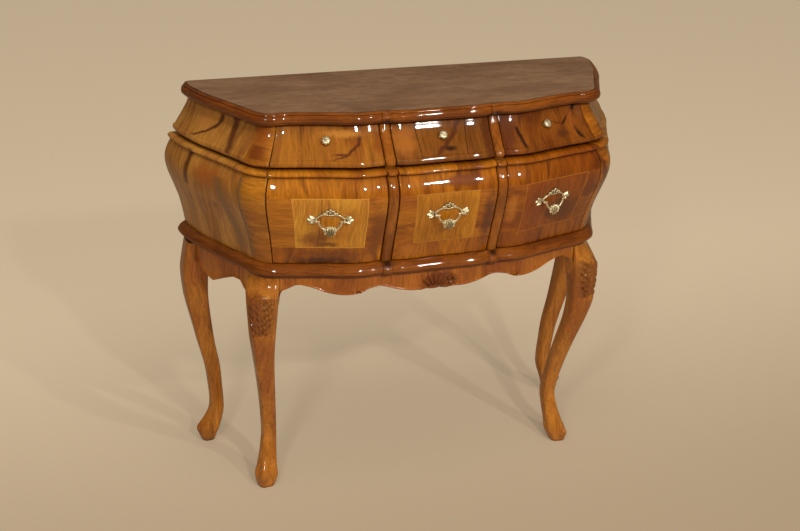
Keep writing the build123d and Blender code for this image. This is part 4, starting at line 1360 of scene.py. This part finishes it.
def plate_parts():
    """The back plate: a fan-shaped leaf at each end, thin hollow-curved arms and a pierced crest.

    A leaf's radius follows |cos(3.5 t)|, so it has lobes outwards, and its ribs are a cosine of the
    angle about its root.
    """
    parts = []
    t = np.linspace(0, 2 * pi, 72, endpoint=False)
    for end in (-1, 1):
        tips = np.clip(np.cos(t), 0, 1) ** 0.5 * np.abs(np.cos(3.5 * t)) ** 0.8
        radius = 0.007 + 0.0024 * np.cos(t) + 0.0056 * tips
        leaf_x = end * (pull_half + 0.0045 + radius * np.cos(t))
        leaf_y = radius * np.sin(t) * 1.05 - 0.002

        def ribbed(x, y, end=end):
            ray = np.arctan2(y + 0.002, end * x - pull_half + 0.007)
            return plate_thick + 0.0019 * np.cos(17 * ray)

        parts.append(mound(np.stack([leaf_x, leaf_y], axis=-1), ribbed))
        arm = [(0.029, 0.002), (0.0245, 0.0062), (0.0195, 0.0098), (0.0145, 0.0112), (0.009, 0.0128)]
        arm = level_path(np.array(arm) * (end, 1), 0.0016, 24)
        parts.append(bar(arm, np.linspace(0.0022, 0.0014, 24)))
    crest = np.array([(-0.016, 0.0115), (-0.0135, 0.016), (-0.0095, 0.0155), (-0.0075, 0.0205),
                      (-0.0035, 0.0205), (0, 0.0245)])
    crest = np.concatenate([crest, crest[-2::-1] * (-1, 1)])
    parts.append(bar(level_path(crest, 0.0018, 70), 0.0016))
    sill = np.array([(-0.015, 0.0125), (-0.006, 0.0112), (0, 0.0104), (0.006, 0.0112), (0.015, 0.0125)])
    parts.append(bar(level_path(sill, 0.0016, 30), 0.0013))
    for across, up, size in ((0, 0.0162, 0.0034), (-0.0072, 0.0148, 0.0024), (0.0072, 0.0148, 0.0024)):
        drop = np.stack([across + 0.8 * size * np.cos(t), up + size * np.sin(t)], axis=-1)
        parts.append(mound(drop, lambda x, y: drop_thick + 0 * x, 8))
    return parts


def bail_parts():
    """The bail: two thin curved arms with round eyes, and a fluted shell that hangs between them.

    The shell's flutes are a cosine of the angle about a point under it, and another cosine scallops
    its edge.
    """
    arms = np.array([(-0.023, 0.0), (-0.0228, -0.004), (-0.0196, -0.0105), (-0.0138, -0.0162), (0, -0.0182)])
    arms = np.concatenate([arms, arms[-2::-1] * (-1, 1)])
    parts = [bar(level_path(arms, 0.0, 60), arm_radius)]
    for end in (-1, 1):
        pin = np.array([(end * 0.0205, 0, 0), (end * 0.0285, 0, 0)])
        parts.append(bar(smooth(pin, 4), pin_radius))
    t = np.linspace(0, 2 * pi, 120, endpoint=False)
    scallop = 1 + 0.09 * np.cos(9 * t)
    x = 0.0158 * np.sin(t) * scallop * (0.84 + 0.16 * np.cos(t))
    y = -0.0214 + 0.0112 * np.cos(t) * scallop

    def fluted(x, y):
        ray = np.arctan2(x, y + 0.04)
        return 0.004 + 0.0021 * np.cos(27 * ray)

    shell = mound(np.stack([x, y], axis=-1), fluted, 16)
    parts += [shell, shell[::-1] * (1, 1, -0.6)]
    return parts


def placed(name, parts, place, axes):
    """One mesh of several grids of local points, each set at a place with its axes."""
    return joined(name, [grid_mesh("part", place + part @ axes, crease=50) for part in parts])


for bay, x in (("left", -1), ("middle", 0), ("right", 1)):
    upper, lower = f"upper_{bay}", f"lower_{bay}"
    place, axes = spot(x * knob_x, knob_z, fine_upper)
    knob = turned(f"{upper}_rosette", knob_profile, place, axes, 0.09)
    place, axes = spot(x * pull_x, pull_z, fine_lower)
    plate = placed("leaves", plate_parts(), place, axes)
    bolts = joined("bolts", [turned("bolt", bolt_profile, place + end * pull_half * axes[0], axes, count=24)
                             for end in (-1, 1)])
    hang = np.stack([axes[0], (0, 0, 1), np.cross(axes[0], (0, 0, 1))])
    bail = placed("drop", bail_parts(), place + pivot_stand * axes[2], hang)
    for name, mesh, body, node in (
        (f"{upper}_rosette", knob, f"{upper}_drawer", f"{upper}_knob"),
        (f"{lower}_leaves", plate, f"{lower}_drawer", f"{lower}_plate"),
        (f"{lower}_posts", bolts, f"{lower}_drawer", f"{lower}_bolts"),
        (f"{lower}_drop", bail, f"{lower}_handle", f"{lower}_bail"),
    ):
        make(name, mesh, brass, [node], body)

# Plain pieces that stay as the frame has them

slot_finishes = {"inside_wood": inside_finish, "brass": brass, "veneer": top_finish}
for node in frame["record"]["subparts"]:
    thing = frame["nodes"][node["node"]]
    if thing.hide_render:
        continue
    thing.data.materials.clear()
    thing.data.materials.append(slot_finishes.get(node["material_slot"], leg_finish))

# Floor, lights and camera

floor_half = 30
corners = [[(x * floor_half, y * floor_half, 0) for x in (-1, 1)] for y in (-1, 1)]
floor_mesh = grid_mesh("floor", np.array(corners), wrap=False, caps=False)
if floor_mesh.polygons[0].normal.z < 0:
    floor_mesh.flip_normals()
floor = bpy.data.objects.new("floor", floor_mesh)
bpy.context.scene.collection.objects.link(floor)
floor_finish, floor_shader, n = new_material("floor_paper")
floor_shader.inputs["Roughness"].default_value = 0.9
floor_shader.inputs["Base Color"].default_value = linear(186, 166, 139)
floor_shader.inputs["Emission Color"].default_value = linear(206, 188, 160)
seen = n.add("ShaderNodeLightPath", out="Is Camera Ray")
place_y = n.split(object_place(n))[1]
away = n.math("MAXIMUM", n.remap(place_y, -0.9, 1.1, 0.0, 0.56), n.remap(place_y, -0.7, -3.0, 0.0, 0.62))
n.tree.links.new(n.times(seen, away), floor_shader.inputs["Emission Strength"])
floor_mesh.materials.append(floor_finish)


def faced(thing, right, up, away, place):
    """Gives a camera or a lamp its axes and its place. It looks the other way from away."""
    turn = np.eye(4)
    turn[:3] = np.stack([right, up, away, place], axis=1)
    thing.matrix_world = Matrix(turn.tolist())


camera_place = np.array([-0.99706, -2.62147, 1.70066])
camera_yaw = radians(20.1113)
camera_pitch = radians(23.6417)
camera_roll = radians(-2.0594)
camera_lens = 61.159
ahead = cos(camera_pitch)
forward = np.array([sin(camera_yaw) * ahead, cos(camera_yaw) * ahead, -sin(camera_pitch)])
level = np.array([cos(camera_yaw), -sin(camera_yaw), 0])
down = np.cross(forward, level)
across = cos(camera_roll) * level + sin(camera_roll) * down
downward = -sin(camera_roll) * level + cos(camera_roll) * down
camera_data = bpy.data.cameras.new("camera")
camera_data.sensor_width = 36
camera_data.lens = camera_lens
camera_data.clip_end = 100
camera = bpy.data.objects.new("camera", camera_data)
bpy.context.scene.collection.objects.link(camera)
faced(camera, across, -downward, -forward, camera_place)
bpy.context.scene.camera = camera


def lamp(name, place, target, size, power, colour=(1, 0.97, 0.92)):
    """A square area lamp that faces its target."""
    data = bpy.data.lights.new(name, "AREA")
    data.size = size
    data.energy = power
    data.color = colour
    thing = bpy.data.objects.new(name, data)
    bpy.context.scene.collection.objects.link(thing)
    away = np.array(place, float) - np.array(target, float)
    away /= np.linalg.norm(away)
    right = np.cross((0, 0, 1), away)
    right /= np.linalg.norm(right)
    faced(thing, right, np.cross(away, right), away, place)
    return thing


middle = (0, -0.1, 0.6)
lamp("flash_left", (-2.0, -3.0, 2.9), middle, 0.34, 26)
lamp("flash_middle", (0.3, -3.4, 2.9), middle, 0.17, 37)
lamp("flash_right", (1.5, -3.1, 2.85), middle, 0.12, 28)
soft = lamp("soft_top", (-0.3, -1.4, 3.6), middle, 2.4, 38)
soft.visible_glossy = False
sky_light = 0.36
sky_shine = 0.1  # its strength in reflections
world = bpy.data.worlds.new("studio")
bpy.context.scene.world = world
world.use_nodes = True
studio = world.node_tree.nodes["Background"]
n = Nodes(world.node_tree)
studio.inputs["Color"].default_value = linear(226, 208, 182)
shine = n.remap(n.add("ShaderNodeLightPath", out="Is Glossy Ray"), 0, 1, sky_light, sky_shine, False)
shown = n.times(n.add("ShaderNodeLightPath", out="Is Camera Ray"), sky_light)
world.node_tree.links.new(n.plus(shine, shown), studio.inputs["Strength"])
bpy.context.scene.view_settings.view_transform = "Standard"
